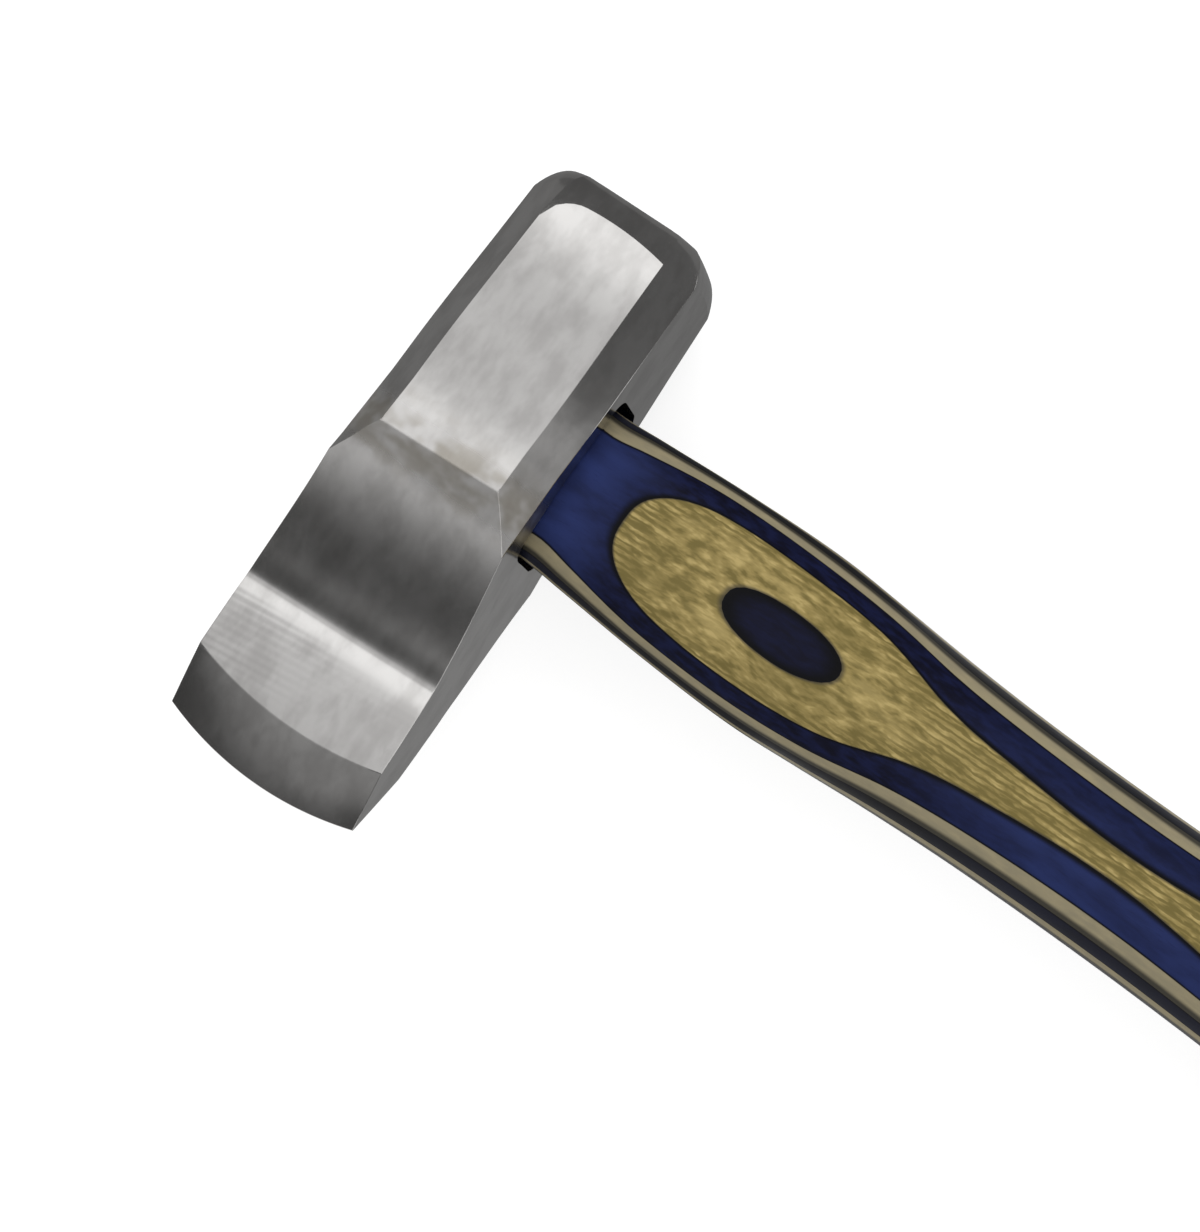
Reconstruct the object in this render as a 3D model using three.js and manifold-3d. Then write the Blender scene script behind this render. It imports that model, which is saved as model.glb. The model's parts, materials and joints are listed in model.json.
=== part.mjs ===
// One-hand splitting maul: a ground steel head on a handle of laminated, coloured hardwood.
//
// Millimetres. +X runs along the handle from the eye to the butt, +Y along the head from the
// cutting edge to the poll, +Z out of the upper cheek. The pieces are worked out about the tool's
// middle plane. The whole is then raised, so that the origin lies on the lower cheek, straight
// under the point where the handle's axis crosses the head's.
//
// The handle is a stack of veneers in planes parallel to the middle plane. Each ply is lofted
// between its two glue lines inside one handle form, so the nested ovals on the handle's flanks
// come from the form itself, as they do when a glued-up stack is shaped.

import * as THREE from 'three';
import { LoftGeometry } from 'three/addons/geometries/LoftGeometry.js';
import { mergeVertices } from 'three/addons/utils/BufferGeometryUtils.js';
import Module from 'manifold-3d';

// ---- head, along Y: distances from the middle of the eye -------------------------------------

const POLL_REACH = 42.2;
const SHOULDER_REACH = 9.1; // to the line where the scallops start
const BLADE_ROOT_REACH = 40.3; // to the line where the scallops end
const EDGE_REACH = 67.8; // to the middle of the cutting edge
const BEVEL_LENGTH = 10.8; // from the cutting edge to the top of its bevel, at the middle

// ---- head, across X --------------------------------------------------------------------------

const EDGE_WIDTH = 36.5;
const BLADE_ROOT_WIDTH = 35.9;
const EYE_WIDTH = 32.1;
const POLL_WIDTH = 31.2;

// ---- head, across Z --------------------------------------------------------------------------

const SHOULDER_THICKNESS = 39.4;
const POLL_THICKNESS = 28;
const BLADE_ROOT_THICKNESS = 15.4;
const BEVEL_THICKNESS = 11.8;
const EDGE_LAND = 0.5; // flat left on the cutting edge

// ---- head, ground forms ----------------------------------------------------------------------

const BODY_CHAMFER = 5.2; // leg of the chamfers along the body's four long edges
const SCALLOP_RADIUS = 95;
const EDGE_RADIUS = 58; // plan radius of the cutting edge
const BEVEL_RADIUS = 66; // plan radius of the line at the top of the bevel
const POLL_BORDER_REACH = 5.8; // how far the rounded border of the poll runs back
const POLL_BORDER_INSET = 4.8; // how far it comes in over the poll's face
const POLL_BORDER_START = 30; // degrees that it leans in where it meets the flats
const POLL_CROWN = 1; // rise of the slightly domed face
const POLL_ARCH = 1.1; // how far the border drops back towards the ends of each flat

// ---- eye -------------------------------------------------------------------------------------

const EYE_LENGTH = 30.2; // along Y, at the mouth on the handle's side
const EYE_HEIGHT = 16.4; // along Z, at the mouth
const EYE_CORNER = 3.6;
const EYE_FLARE = 0.4; // how much the eye opens on each side towards the wedges

// ---- handle ----------------------------------------------------------------------------------

const PLY = 1.9; // one veneer with its glue line
const SEAT_CLEARANCE = 0.3; // between pieces that are fitted into one another
const MOUTH_END_GAP = 1.2; // left at each end of the mouth of the eye
const TENON_PROUD = 1.2; // tenon left standing out of the head
const THINNEST_SHAVING = 0.04; // a remnant of a ply thinner than this sands away

const THROAT_REACH = 24; // reaches run from the middle of the eye
const THROAT_WIDTH = 28.75; // widths lie along Y
const THROAT_THICKNESS = 16.5; // thicknesses lie along Z
const RISE_REACH = 40;
const RISE_WIDTH = 30.75;
const RISE_THICKNESS = 20;
const SWELL_REACH = 58;
const SWELL_WIDTH = 31.6;
const SWELL_THICKNESS = 21.46;
const FALL_REACH = 70;
const FALL_WIDTH = 30.1;
const FALL_THICKNESS = 20.8;
const RUNOUT_REACH = 84;
const RUNOUT_WIDTH = 28;
const RUNOUT_THICKNESS = 18.4;
const WAIST_REACH = 116;
const WAIST_WIDTH = 25.8;
const WAIST_THICKNESS = 17.32;
const GRIP_FROM_BUTT = 120; // the rest of the handle is laid out from its end
const GRIP_WIDTH = 30.4;
const GRIP_THICKNESS = 22.2;
const NECK_FROM_BUTT = 57;
const NECK_WIDTH = 28.2;
const NECK_THICKNESS = 19.8;
const KNOB_FROM_BUTT = 19;
const KNOB_WIDTH = 34.4;
const KNOB_THICKNESS = 24.4;
const HANDLE_REACH = 325; // to the end of the butt
const BUTT_WIDTH = 33;
const BUTT_THICKNESS = 23.4;
const BUTT_ROUND = 4.5; // radius of the rounded-over edge at the end

const FLANK_POWER = 2.2; // superellipse exponent of the handle's section
const THROAT_POWER = 2.8;
const TENON_POWER = 5; // squarer inside the eye, towards its corners
const SWELL_CREST = -0.5; // how far the flanks' ridge lies off the middle, towards the poll
const WAIST_CREST = 1.2;
const HANG_ANGLE = 1.35; // degrees that the handle leans towards the edge, from the eye on

// ---- wedges ----------------------------------------------------------------------------------

const WEDGE_LENGTH = 24; // the hardwood wedge, along the eye
const WEDGE_DEPTH = 21;
const WEDGE_TOP = 3.4;
const WEDGE_TIP = 0.9;
const WEDGE_SUNK = 0.3; // below the end of the tenon
const CROSS_SPACING = 12.5; // between the two steel cross wedges
const CROSS_LENGTH = 11.4;
const CROSS_DEPTH = 14;
const CROSS_TOP = 2.4;
const CROSS_TIP = 0.7;
const CROSS_SUNK = 0.6;

// ---- smoothness ------------------------------------------------------------------------------

const HANDLE_STEPS = 34;
const FACET_TURN = 17; // degrees of the handle's section that one facet may take in
const BUTT_STEPS = 5;
const TIP_STEPS = 3; // closer sections where a ply begins to show
const TIP_RUN = 5; // over this length
const CLOSEST_SECTIONS = 0.4;
const SEARCH_STEP = 1; // for finding where the handle's crown passes a glue line
const SEARCH_HALVINGS = 24;
const HEAD_STEPS = 18;
const FLAT_STEPS = 4; // points along each flat of the head's section
const BORDER_STEPS = 5;
const CROWN_RINGS = 3;
const SCALLOP_STEPS = 18;
const EDGE_STEPS = 14;
const EYE_CORNER_STEPS = 3;

const FINISHES = {
	steel: { color: 0xa9abad, roughness: 0.34, metalness: 1 },
	blueVeneer: { color: 0x232a5c, roughness: 0.38, metalness: 0 },
	tanVeneer: { color: 0xb39c64, roughness: 0.45, metalness: 0 },
	wedgeWood: { color: 0xc9a873, roughness: 0.7, metalness: 0 },
	wedgeSteel: { color: 0x7c7e80, roughness: 0.5, metalness: 1 },
};

const wasm = await Module();
wasm.setup();

// ---- solids ----------------------------------------------------------------------------------

/** The geometry with shared vertices merged, and without triangles that have collapsed. */
function welded( geometry ) {

	const bare = new THREE.BufferGeometry();
	bare.setAttribute( 'position', geometry.attributes.position );
	bare.setIndex( geometry.index );
	const merged = mergeVertices( bare );
	const corners = merged.index.array;
	const kept = [];

	for ( let i = 0; i < corners.length; i += 3 ) {

		const [ a, b, c ] = corners.slice( i, i + 3 );
		if ( a !== b && b !== c && c !== a ) kept.push( a, b, c );

	}

	merged.setIndex( kept );
	return merged;

}

/** A closed geometry as a solid that can be cut and joined. */
function solid( geometry ) {

	const closed = welded( geometry );

	return new wasm.Manifold( new wasm.Mesh( {
		numProp: 3,
		vertProperties: new Float32Array( closed.attributes.position.array ),
		triVerts: new Uint32Array( closed.index.array ),
	} ) );

}

/** A solid as a geometry again. */
function geometryOf( manifold ) {

	const cut = manifold.getMesh();
	const geometry = new THREE.BufferGeometry();
	geometry.setAttribute( 'position', new THREE.BufferAttribute( cut.vertProperties, 3 ) );
	geometry.setIndex( new THREE.BufferAttribute( cut.triVerts, 1 ) );
	return geometry;

}

/** A loft with both ends closed; an end that has shrunk to a point needs no cap. */
function loft( sections ) {

	const isOpen = ( section ) => section.some( ( p ) => p.distanceTo( section[ 0 ] ) > 1e-6 );

	return new LoftGeometry( sections, {
		capStart: isOpen( sections[ 0 ] ),
		capEnd: isOpen( sections[ sections.length - 1 ] ),
	} );

}

/** One named piece of the tool. */
function piece( name, geometry, finish ) {

	geometry.computeVertexNormals();
	const mesh = new THREE.Mesh( geometry, new THREE.MeshStandardMaterial( finish ) );
	mesh.name = name;
	return mesh;

}

// ---- head ------------------------------------------------------------------------------------

const CHEEK_TAPER = ( SHOULDER_THICKNESS - POLL_THICKNESS ) / 2 / ( SHOULDER_REACH + POLL_REACH );
const BEVEL_REACH = EDGE_REACH - BEVEL_LENGTH;
const FLAT_TAPER = ( BLADE_ROOT_THICKNESS - BEVEL_THICKNESS ) / 2 / ( BEVEL_REACH - BLADE_ROOT_REACH );
const BORDER_REACH = POLL_REACH - POLL_BORDER_REACH;
const PAST_EDGE = 4; // how far stock and cutters run on past the finished head

/** Height of the upper cheek over the middle plane at a place along the head. */
function cheekHeight( y ) {

	return SHOULDER_THICKNESS / 2 - CHEEK_TAPER * ( y + SHOULDER_REACH );

}

/** Height of the blade's upper flat over the middle plane. */
function bladeHeight( y ) {

	return BLADE_ROOT_THICKNESS / 2 + FLAT_TAPER * ( y + BLADE_ROOT_REACH );

}

const BLANK_END = - EDGE_REACH - PAST_EDGE;
const ABOVE_BLANK = cheekHeight( BLANK_END ) + PAST_EDGE;

/** Half the head's width seen on the cheek: it flares from the eye to the edge. */
const headPlan = new THREE.SplineCurve( [
	new THREE.Vector2( BLANK_END, EDGE_WIDTH / 2 ),
	new THREE.Vector2( - BEVEL_REACH, EDGE_WIDTH / 2 ),
	new THREE.Vector2( - BLADE_ROOT_REACH, BLADE_ROOT_WIDTH / 2 ),
	new THREE.Vector2( - SHOULDER_REACH, EYE_WIDTH / 2 ),
	new THREE.Vector2( SHOULDER_REACH, EYE_WIDTH / 2 ),
	new THREE.Vector2( BORDER_REACH, POLL_WIDTH / 2 ),
] );

/**
 * The head's octagonal section, with points along each flat. An inset shrinks it, and an arch bends
 * the ends of every flat back along the head, on the same cheek planes.
 */
function headSection( y, halfWidth, inset = 0, arch = 0 ) {

	const x = halfWidth - inset;
	const z = cheekHeight( y ) - inset;
	const leg = BODY_CHAMFER - inset * ( 2 - Math.SQRT2 );
	const corners = [
		[ x, z - leg ], [ x, leg - z ], [ x - leg, - z ], [ leg - x, - z ],
		[ - x, leg - z ], [ - x, z - leg ], [ leg - x, z ], [ x - leg, z ],
	];

	return corners.flatMap( ( from, i ) => {

		const to = corners[ ( i + 1 ) % corners.length ];

		return Array.from( { length: FLAT_STEPS }, ( _, step ) => {

			const t = step / FLAT_STEPS;
			const back = arch * ( 2 * t - 1 ) ** 2;
			const lift = 1 + CHEEK_TAPER * back / z;

			return new THREE.Vector3(
				THREE.MathUtils.lerp( from[ 0 ], to[ 0 ], t ),
				y - back,
				THREE.MathUtils.lerp( from[ 1 ], to[ 1 ], t ) * lift,
			);

		} );

	} );

}

/** The block before grinding: an octagonal body with a rounded border and a domed poll face. */
function headBlock() {

	const body = headPlan.getPoints( HEAD_STEPS ).slice( 0, - 1 );
	const sections = body.map( ( p ) => headSection( p.x, p.y ) );
	const start = THREE.MathUtils.degToRad( POLL_BORDER_START );

	for ( let step = 0; step <= BORDER_STEPS; step ++ ) {

		const share = step / BORDER_STEPS;
		const lean = THREE.MathUtils.lerp( start, Math.PI / 2, share );
		const along = ( Math.sin( lean ) - Math.sin( start ) ) / ( 1 - Math.sin( start ) );
		const inset = POLL_BORDER_INSET * ( 1 - Math.cos( lean ) / Math.cos( start ) );
		const y = BORDER_REACH + ( POLL_BORDER_REACH - POLL_CROWN ) * along;
		sections.push( headSection( y, POLL_WIDTH / 2, inset, POLL_ARCH * ( 1 - share ) ) );

	}

	const face = sections[ sections.length - 1 ];

	for ( let ring = CROWN_RINGS - 1; ring >= 0; ring -- ) {

		const share = ring / CROWN_RINGS;
		const y = POLL_REACH - POLL_CROWN * share ** 2;
		sections.push( face.map( ( p ) => new THREE.Vector3( p.x * share, y, p.z * share ) ) );

	}

	return solid( loft( sections ) );

}

/** The waste over the upper cheek: the scallop, and all that lies above the flat of the blade. */
function scallopWaste() {

	const top = new THREE.Vector2( - SHOULDER_REACH, SHOULDER_THICKNESS / 2 );
	const root = new THREE.Vector2( - BLADE_ROOT_REACH, BLADE_ROOT_THICKNESS / 2 );
	const chord = root.clone().sub( top );
	const rise = Math.sqrt( SCALLOP_RADIUS ** 2 - chord.lengthSq() / 4 );
	const outward = new THREE.Vector2( chord.y, - chord.x ).setLength( rise );
	const centre = top.clone().add( root ).multiplyScalar( 0.5 ).add( outward );
	const start = top.clone().sub( centre ).angle() + PAST_EDGE / SCALLOP_RADIUS;
	const end = root.clone().sub( centre ).angle();
	const past = BLANK_END - PAST_EDGE;

	const shape = new THREE.Shape();
	shape.absarc( centre.x, centre.y, SCALLOP_RADIUS, start, end, true );
	shape.lineTo( past, bladeHeight( past ) );
	shape.lineTo( past, ABOVE_BLANK );
	shape.lineTo( centre.x + SCALLOP_RADIUS * Math.cos( start ), ABOVE_BLANK );

	const depth = Math.max( EDGE_WIDTH, EYE_WIDTH ) + 2 * PAST_EDGE;
	const curveSegments = SCALLOP_STEPS / 2; // an arc is given twice as many
	const bar = new THREE.ExtrudeGeometry( shape, { depth, bevelEnabled: false, curveSegments } );
	bar.translate( 0, 0, - depth / 2 );
	return bar.applyMatrix4( new THREE.Matrix4().makeBasis(
		new THREE.Vector3( 0, 1, 0 ), new THREE.Vector3( 0, 0, 1 ), new THREE.Vector3( 1, 0, 0 ),
	) );

}

/** The waste over the upper bevel, which is ruled between the edge's arc and the arc at its top. */
function bevelWaste() {

	const arc = ( reach, radius, x ) => radius - reach - Math.sqrt( radius ** 2 - x ** 2 );
	const past = BLANK_END - PAST_EDGE;
	const side = EDGE_WIDTH / 2 + PAST_EDGE;
	const sections = [];

	for ( let step = 0; step <= EDGE_STEPS; step ++ ) {

		const x = THREE.MathUtils.lerp( - side, side, step / EDGE_STEPS );
		const edge = arc( EDGE_REACH, EDGE_RADIUS, x );
		const top = arc( BEVEL_REACH, BEVEL_RADIUS, x );
		const slope = ( bladeHeight( top ) - EDGE_LAND / 2 ) / ( top - edge );
		const clear = top + PAST_EDGE;

		sections.push( [
			new THREE.Vector3( x, edge, - EDGE_LAND / 4 ),
			new THREE.Vector3( x, edge, EDGE_LAND / 2 ),
			new THREE.Vector3( x, clear, EDGE_LAND / 2 + slope * ( clear - edge ) ),
			new THREE.Vector3( x, past, ABOVE_BLANK ),
			new THREE.Vector3( x, past, - EDGE_LAND / 4 ),
		] );

	}

	return loft( sections );

}

/** The hole for the handle, a rounded oblong that opens a little towards the wedges. */
function eyeHole() {

	const quarters = [ [ 1, 1 ], [ - 1, 1 ], [ - 1, - 1 ], [ 1, - 1 ] ];
	const end = EYE_WIDTH / 2 + PAST_EDGE;

	const sections = [ - end, end ].map( ( x ) => {

		const flare = EYE_FLARE * ( EYE_WIDTH / 2 - x ) / EYE_WIDTH;
		const y = EYE_LENGTH / 2 + flare - EYE_CORNER;
		const z = EYE_HEIGHT / 2 + flare - EYE_CORNER;
		const outline = new THREE.Path();
		quarters.forEach( ( [ right, up ], quarter ) => {

			const from = quarter * Math.PI / 2;
			outline.absarc( right * y, up * z, EYE_CORNER, from, from + Math.PI / 2 );

		} );

		return outline.getPoints( EYE_CORNER_STEPS ).map( ( p ) => new THREE.Vector3( x, p.x, p.y ) );

	} );

	return loft( sections );

}

function buildHead() {

	let head = headBlock();

	for ( const waste of [ scallopWaste(), bevelWaste() ] ) {

		head = head.subtract( solid( waste ) );
		head = head.subtract( solid( waste.rotateY( Math.PI ) ) );

	}

	head = head.subtract( solid( eyeHole() ) );
	return piece( 'head', geometryOf( head ), FINISHES.steel );

}

// ---- handle form -----------------------------------------------------------------------------

const TENON_END = - EYE_WIDTH / 2 - TENON_PROUD;
const MOUTH = EYE_WIDTH / 2;

/** Places along the handle, each with its full width and thickness, crest and section exponent. */
const handleStations = [
	[ TENON_END, EYE_LENGTH + 2 * ( EYE_FLARE - SEAT_CLEARANCE ),
		EYE_HEIGHT + 2 * ( EYE_FLARE - SEAT_CLEARANCE ), 0, TENON_POWER ],
	[ 0, EYE_LENGTH - 2 * SEAT_CLEARANCE, EYE_HEIGHT - 2 * SEAT_CLEARANCE, 0, TENON_POWER ],
	[ MOUTH, EYE_LENGTH - 2 * MOUTH_END_GAP, EYE_HEIGHT - 2 * SEAT_CLEARANCE, 0, THROAT_POWER ],
	[ THROAT_REACH, THROAT_WIDTH, THROAT_THICKNESS, 0, THROAT_POWER ],
	[ RISE_REACH, RISE_WIDTH, RISE_THICKNESS, SWELL_CREST / 2, ( THROAT_POWER + FLANK_POWER ) / 2 ],
	[ SWELL_REACH, SWELL_WIDTH, SWELL_THICKNESS, SWELL_CREST, FLANK_POWER ],
	[ FALL_REACH, FALL_WIDTH, FALL_THICKNESS, SWELL_CREST / 2, FLANK_POWER ],
	[ RUNOUT_REACH, RUNOUT_WIDTH, RUNOUT_THICKNESS, WAIST_CREST / 3, FLANK_POWER ],
	[ WAIST_REACH, WAIST_WIDTH, WAIST_THICKNESS, WAIST_CREST, FLANK_POWER ],
	[ HANDLE_REACH - GRIP_FROM_BUTT, GRIP_WIDTH, GRIP_THICKNESS, WAIST_CREST / 3, FLANK_POWER ],
	[ HANDLE_REACH - NECK_FROM_BUTT, NECK_WIDTH, NECK_THICKNESS, 0, FLANK_POWER ],
	[ HANDLE_REACH - KNOB_FROM_BUTT, KNOB_WIDTH, KNOB_THICKNESS, 0, FLANK_POWER ],
	[ HANDLE_REACH, BUTT_WIDTH, BUTT_THICKNESS, 0, FLANK_POWER ],
];

const handleCurve = new THREE.CubicInterpolant(
	handleStations.map( ( station ) => station[ 0 ] ),
	handleStations.flatMap( ( station ) => station.slice( 1 ) ),
	4,
);

/** The handle's section at a place along it: its half sizes, crest, exponent and sideways lean. */
function handleAt( x ) {

	const [ width, thickness, crest, power ] = handleCurve.evaluate( x );
	const past = THREE.MathUtils.clamp( x - HANDLE_REACH + BUTT_ROUND, 0, BUTT_ROUND );
	const inset = BUTT_ROUND - Math.sqrt( BUTT_ROUND ** 2 - past ** 2 );
	const halfWidth = width / 2 - inset;
	const halfThickness = thickness / 2 - inset;
	const lean = - Math.tan( THREE.MathUtils.degToRad( HANG_ANGLE ) ) * Math.max( 0, x );
	return { halfWidth, halfThickness, crest, power, lean };

}

/** How far round the handle's section a height lies, as the angle of its superellipse. */
function turnAt( z, { halfThickness, power } ) {

	const share = Math.min( 1, Math.abs( z ) / halfThickness );
	return Math.sign( z ) * Math.asin( share ** ( power / 2 ) );

}

/** The handle's section between two heights: up its one side and down the other. */
function plySection( x, [ low, high ], steps ) {

	const shape = handleAt( x );

	const side = Array.from( { length: steps + 1 }, ( _, step ) => {

		const turn = THREE.MathUtils.lerp( turnAt( low, shape ), turnAt( high, shape ), step / steps );
		const rise = Math.sign( turn ) * Math.abs( Math.sin( turn ) ) ** ( 2 / shape.power );
		const reach = Math.max( 0, Math.cos( turn ) ) ** ( 2 / shape.power );
		const z = THREE.MathUtils.clamp( shape.halfThickness * rise, low, high );
		return { middle: shape.lean + shape.crest * Math.abs( rise ), reach: shape.halfWidth * reach, z };

	} );

	return [
		...side.map( ( p ) => new THREE.Vector3( x, p.middle + p.reach, p.z ) ),
		...side.reverse().map( ( p ) => new THREE.Vector3( x, p.middle - p.reach, p.z ) ),
	];

}

/** The places where the crown of the handle passes a height, in order from the head. */
function crossings( height ) {

	const over = ( x ) => handleAt( x ).halfThickness > height;
	const found = [];

	for ( let x = TENON_END; x < HANDLE_REACH; x += SEARCH_STEP ) {

		let from = x;
		let to = Math.min( x + SEARCH_STEP, HANDLE_REACH );
		if ( over( from ) === over( to ) ) continue;

		for ( let i = 0; i < SEARCH_HALVINGS; i ++ ) {

			const middle = ( from + to ) / 2;
			if ( over( middle ) === over( from ) ) from = middle;
			else to = middle;

		}

		found.push( ( from + to ) / 2 );

	}

	return found;

}

// ---- plies -----------------------------------------------------------------------------------

/** The glue lines under and over a ply; ply 0 lies on the middle plane. */
function glueLines( ply ) {

	return [ ( ply - 0.5 ) * PLY, ( ply + 0.5 ) * PLY ];

}

const evenSections = Array.from( { length: HANDLE_STEPS + 1 }, ( _, step ) =>
	THREE.MathUtils.lerp( TENON_END, HANDLE_REACH - BUTT_ROUND, step / HANDLE_STEPS ) );

const crownHeight = Math.max( ...evenSections.map( ( x ) => handleAt( x ).halfThickness ) );
const outerPly = Math.ceil( ( crownHeight - THINNEST_SHAVING ) / PLY - 0.5 );

/** Where the plies are given sections: evenly, round the butt, and closer at each ply's tips. */
function sectionPlaces() {

	const butt = Array.from( { length: BUTT_STEPS }, ( _, step ) =>
		HANDLE_REACH - BUTT_ROUND * ( 1 - Math.sin( Math.PI / 2 * step / BUTT_STEPS ) ) );

	const tips = [];
	const nearTips = [];

	for ( let ply = 1; ply <= outerPly; ply ++ ) {

		const [ low ] = glueLines( ply );

		for ( const tip of crossings( low ) ) {

			const showsAfter = handleAt( tip + CLOSEST_SECTIONS ).halfThickness > low;
			const run = showsAfter ? TIP_RUN : - TIP_RUN;
			tips.push( tip );

			for ( let step = 1; step <= TIP_STEPS; step ++ ) {

				nearTips.push( tip + run * ( step / TIP_STEPS ) ** 2 );

			}

		}

	}

	const places = [];

	for ( const x of [ TENON_END, HANDLE_REACH, ...tips, ...nearTips, ...butt, ...evenSections ] ) {

		const within = x >= TENON_END && x <= HANDLE_REACH;
		const clear = places.every( ( other ) => Math.abs( other - x ) > CLOSEST_SECTIONS );
		if ( within && clear ) places.push( x );

	}

	return places.sort( ( a, b ) => a - b );

}

/** The stretches of the handle that are thick enough to hold a ply. */
function islands( ply ) {

	const low = ply === 0 ? 0 : glueLines( Math.abs( ply ) )[ 0 ];
	const ends = [ TENON_END, ...crossings( low ), HANDLE_REACH ];
	const found = [];

	for ( let i = 1; i < ends.length; i ++ ) {

		const [ from, to ] = [ ends[ i - 1 ], ends[ i ] ];
		const inner = places.filter( ( x ) => x > from && x < to );
		const crown = Math.max( ...inner.map( ( x ) => handleAt( x ).halfThickness ) );
		if ( crown > low + THINNEST_SHAVING ) found.push( [ from, ...inner, to ] );

	}

	return found;

}

/** The part of the handle that a stretch lies in, for naming it. */
function zoneOf( stretch ) {

	const middle = ( stretch[ 0 ] + stretch[ stretch.length - 1 ] ) / 2;
	if ( middle < MOUTH ) return 'tenon';
	if ( middle < WAIST_REACH ) return 'shoulder';
	return middle < HANDLE_REACH - NECK_FROM_BUTT ? 'grip' : 'butt';

}

/** One ply over one stretch of the handle. */
function plySolid( ply, stretch ) {

	const lines = glueLines( ply );

	const widest = Math.max( ...evenSections.map( ( x ) => {

		const shape = handleAt( x );
		return turnAt( lines[ 1 ], shape ) - turnAt( lines[ 0 ], shape );

	} ) );

	const steps = Math.ceil( widest / THREE.MathUtils.degToRad( FACET_TURN ) );
	return solid( loft( stretch.map( ( x ) => plySection( x, lines, steps ) ) ) );

}

// ---- wedges ----------------------------------------------------------------------------------

const hardwoodWedge = {
	length: WEDGE_LENGTH, depth: WEDGE_DEPTH, top: WEDGE_TOP, tip: WEDGE_TIP, sunk: WEDGE_SUNK,
};

const crossWedge = {
	length: CROSS_LENGTH, depth: CROSS_DEPTH, top: CROSS_TOP, tip: CROSS_TIP, sunk: CROSS_SUNK,
};

/** A wedge in the end of the tenon, lying along the eye, or the kerf that leaves it a clearance. */
function wedgeShape( { length, depth, top, tip, sunk }, clearance = 0 ) {

	const from = clearance > 0 ? - PAST_EDGE : 0;

	return loft( [ from, depth + clearance ].map( ( x ) => {

		const y = length / 2 + clearance;
		const z = THREE.MathUtils.lerp( top, tip, x / depth ) / 2 + clearance;

		return [ [ y, - z ], [ y, z ], [ - y, z ], [ - y, - z ] ].map( ( corner ) =>
			new THREE.Vector3( TENON_END + sunk + x, ...corner ) );

	} ) );

}

/** A cross wedge or its kerf, stood across the eye towards the poll (1) or the edge (-1). */
function crossShape( side, clearance ) {

	const standing = wedgeShape( crossWedge, clearance ).rotateX( Math.PI / 2 );
	return standing.translate( 0, side * CROSS_SPACING / 2, 0 );

}

// ---- the tool --------------------------------------------------------------------------------

const places = sectionPlaces();
const crossKerfs = [ 1, - 1 ].map( ( side ) => solid( crossShape( side, SEAT_CLEARANCE ) ) );
const kerfs = [ solid( wedgeShape( hardwoodWedge, SEAT_CLEARANCE ) ), ...crossKerfs ];

/** A solid with kerfs cut out of it, as a geometry. */
function cutBy( stock, cutters ) {

	return geometryOf( cutters.reduce( ( left, cutter ) => left.subtract( cutter ), stock ) );

}

/** The pieces of one ply: one where it runs through, several where only the thick parts reach it. */
function buildPly( ply ) {

	const side = ply > 0 ? 'upper' : 'lower';
	const stem = ply === 0 ? 'ply_middle' : `ply_${ side }_${ Math.abs( ply ) }`;
	const finish = ply % 2 === 0 ? FINISHES.blueVeneer : FINISHES.tanVeneer;
	const stretches = islands( ply );

	return stretches.map( ( stretch ) => {

		const name = stretches.length > 1 ? `${ stem }_${ zoneOf( stretch ) }` : stem;
		return piece( name, cutBy( plySolid( ply, stretch ), kerfs ), finish );

	} );

}

const group = new THREE.Group();
group.name = 'splitting_maul';
group.position.z = cheekHeight( 0 );
group.add( buildHead() );

for ( let ply = - outerPly; ply <= outerPly; ply ++ ) group.add( ...buildPly( ply ) );

const wedgeStock = solid( wedgeShape( hardwoodWedge ) );
group.add( piece( 'wedge_hardwood', cutBy( wedgeStock, crossKerfs ), FINISHES.wedgeWood ) );
group.add( piece( 'wedge_steel_poll_side', crossShape( 1 ), FINISHES.wedgeSteel ) );
group.add( piece( 'wedge_steel_edge_side', crossShape( - 1 ), FINISHES.wedgeSteel ) );

export default group;
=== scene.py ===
"""Looks of the one-hand splitting maul.

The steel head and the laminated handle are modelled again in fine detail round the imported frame,
with the same pieces as the frame has. All sizes are in metres, in the frame's own axes: +X along
the handle, +Y along the head towards the poll, +Z out of the upper cheek.
"""

import json
import logging
import math
from collections.abc import Callable, Iterator, Sequence
from contextlib import contextmanager
from dataclasses import dataclass, field
from enum import Enum

import bmesh
import bpy
from mathutils import Matrix, Vector

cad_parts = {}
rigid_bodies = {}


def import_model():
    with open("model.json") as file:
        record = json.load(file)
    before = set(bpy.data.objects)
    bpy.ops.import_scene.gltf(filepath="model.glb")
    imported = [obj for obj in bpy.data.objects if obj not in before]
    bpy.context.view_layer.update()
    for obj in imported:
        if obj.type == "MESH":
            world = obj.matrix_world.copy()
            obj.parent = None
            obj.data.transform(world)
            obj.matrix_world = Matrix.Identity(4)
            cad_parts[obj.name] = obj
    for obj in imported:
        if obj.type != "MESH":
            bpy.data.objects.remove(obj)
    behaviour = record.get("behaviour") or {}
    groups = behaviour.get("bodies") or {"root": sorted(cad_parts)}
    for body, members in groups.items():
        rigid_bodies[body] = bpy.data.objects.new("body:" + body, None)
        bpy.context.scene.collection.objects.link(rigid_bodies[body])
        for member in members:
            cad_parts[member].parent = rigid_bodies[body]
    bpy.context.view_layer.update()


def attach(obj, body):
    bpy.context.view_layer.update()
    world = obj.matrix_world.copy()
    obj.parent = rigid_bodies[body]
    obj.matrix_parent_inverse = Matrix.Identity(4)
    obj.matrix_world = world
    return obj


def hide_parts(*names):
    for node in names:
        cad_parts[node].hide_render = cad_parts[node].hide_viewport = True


MM = 0.001
SAME_PLACE = 0.01 * MM  # places closer together than this are the same
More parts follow.
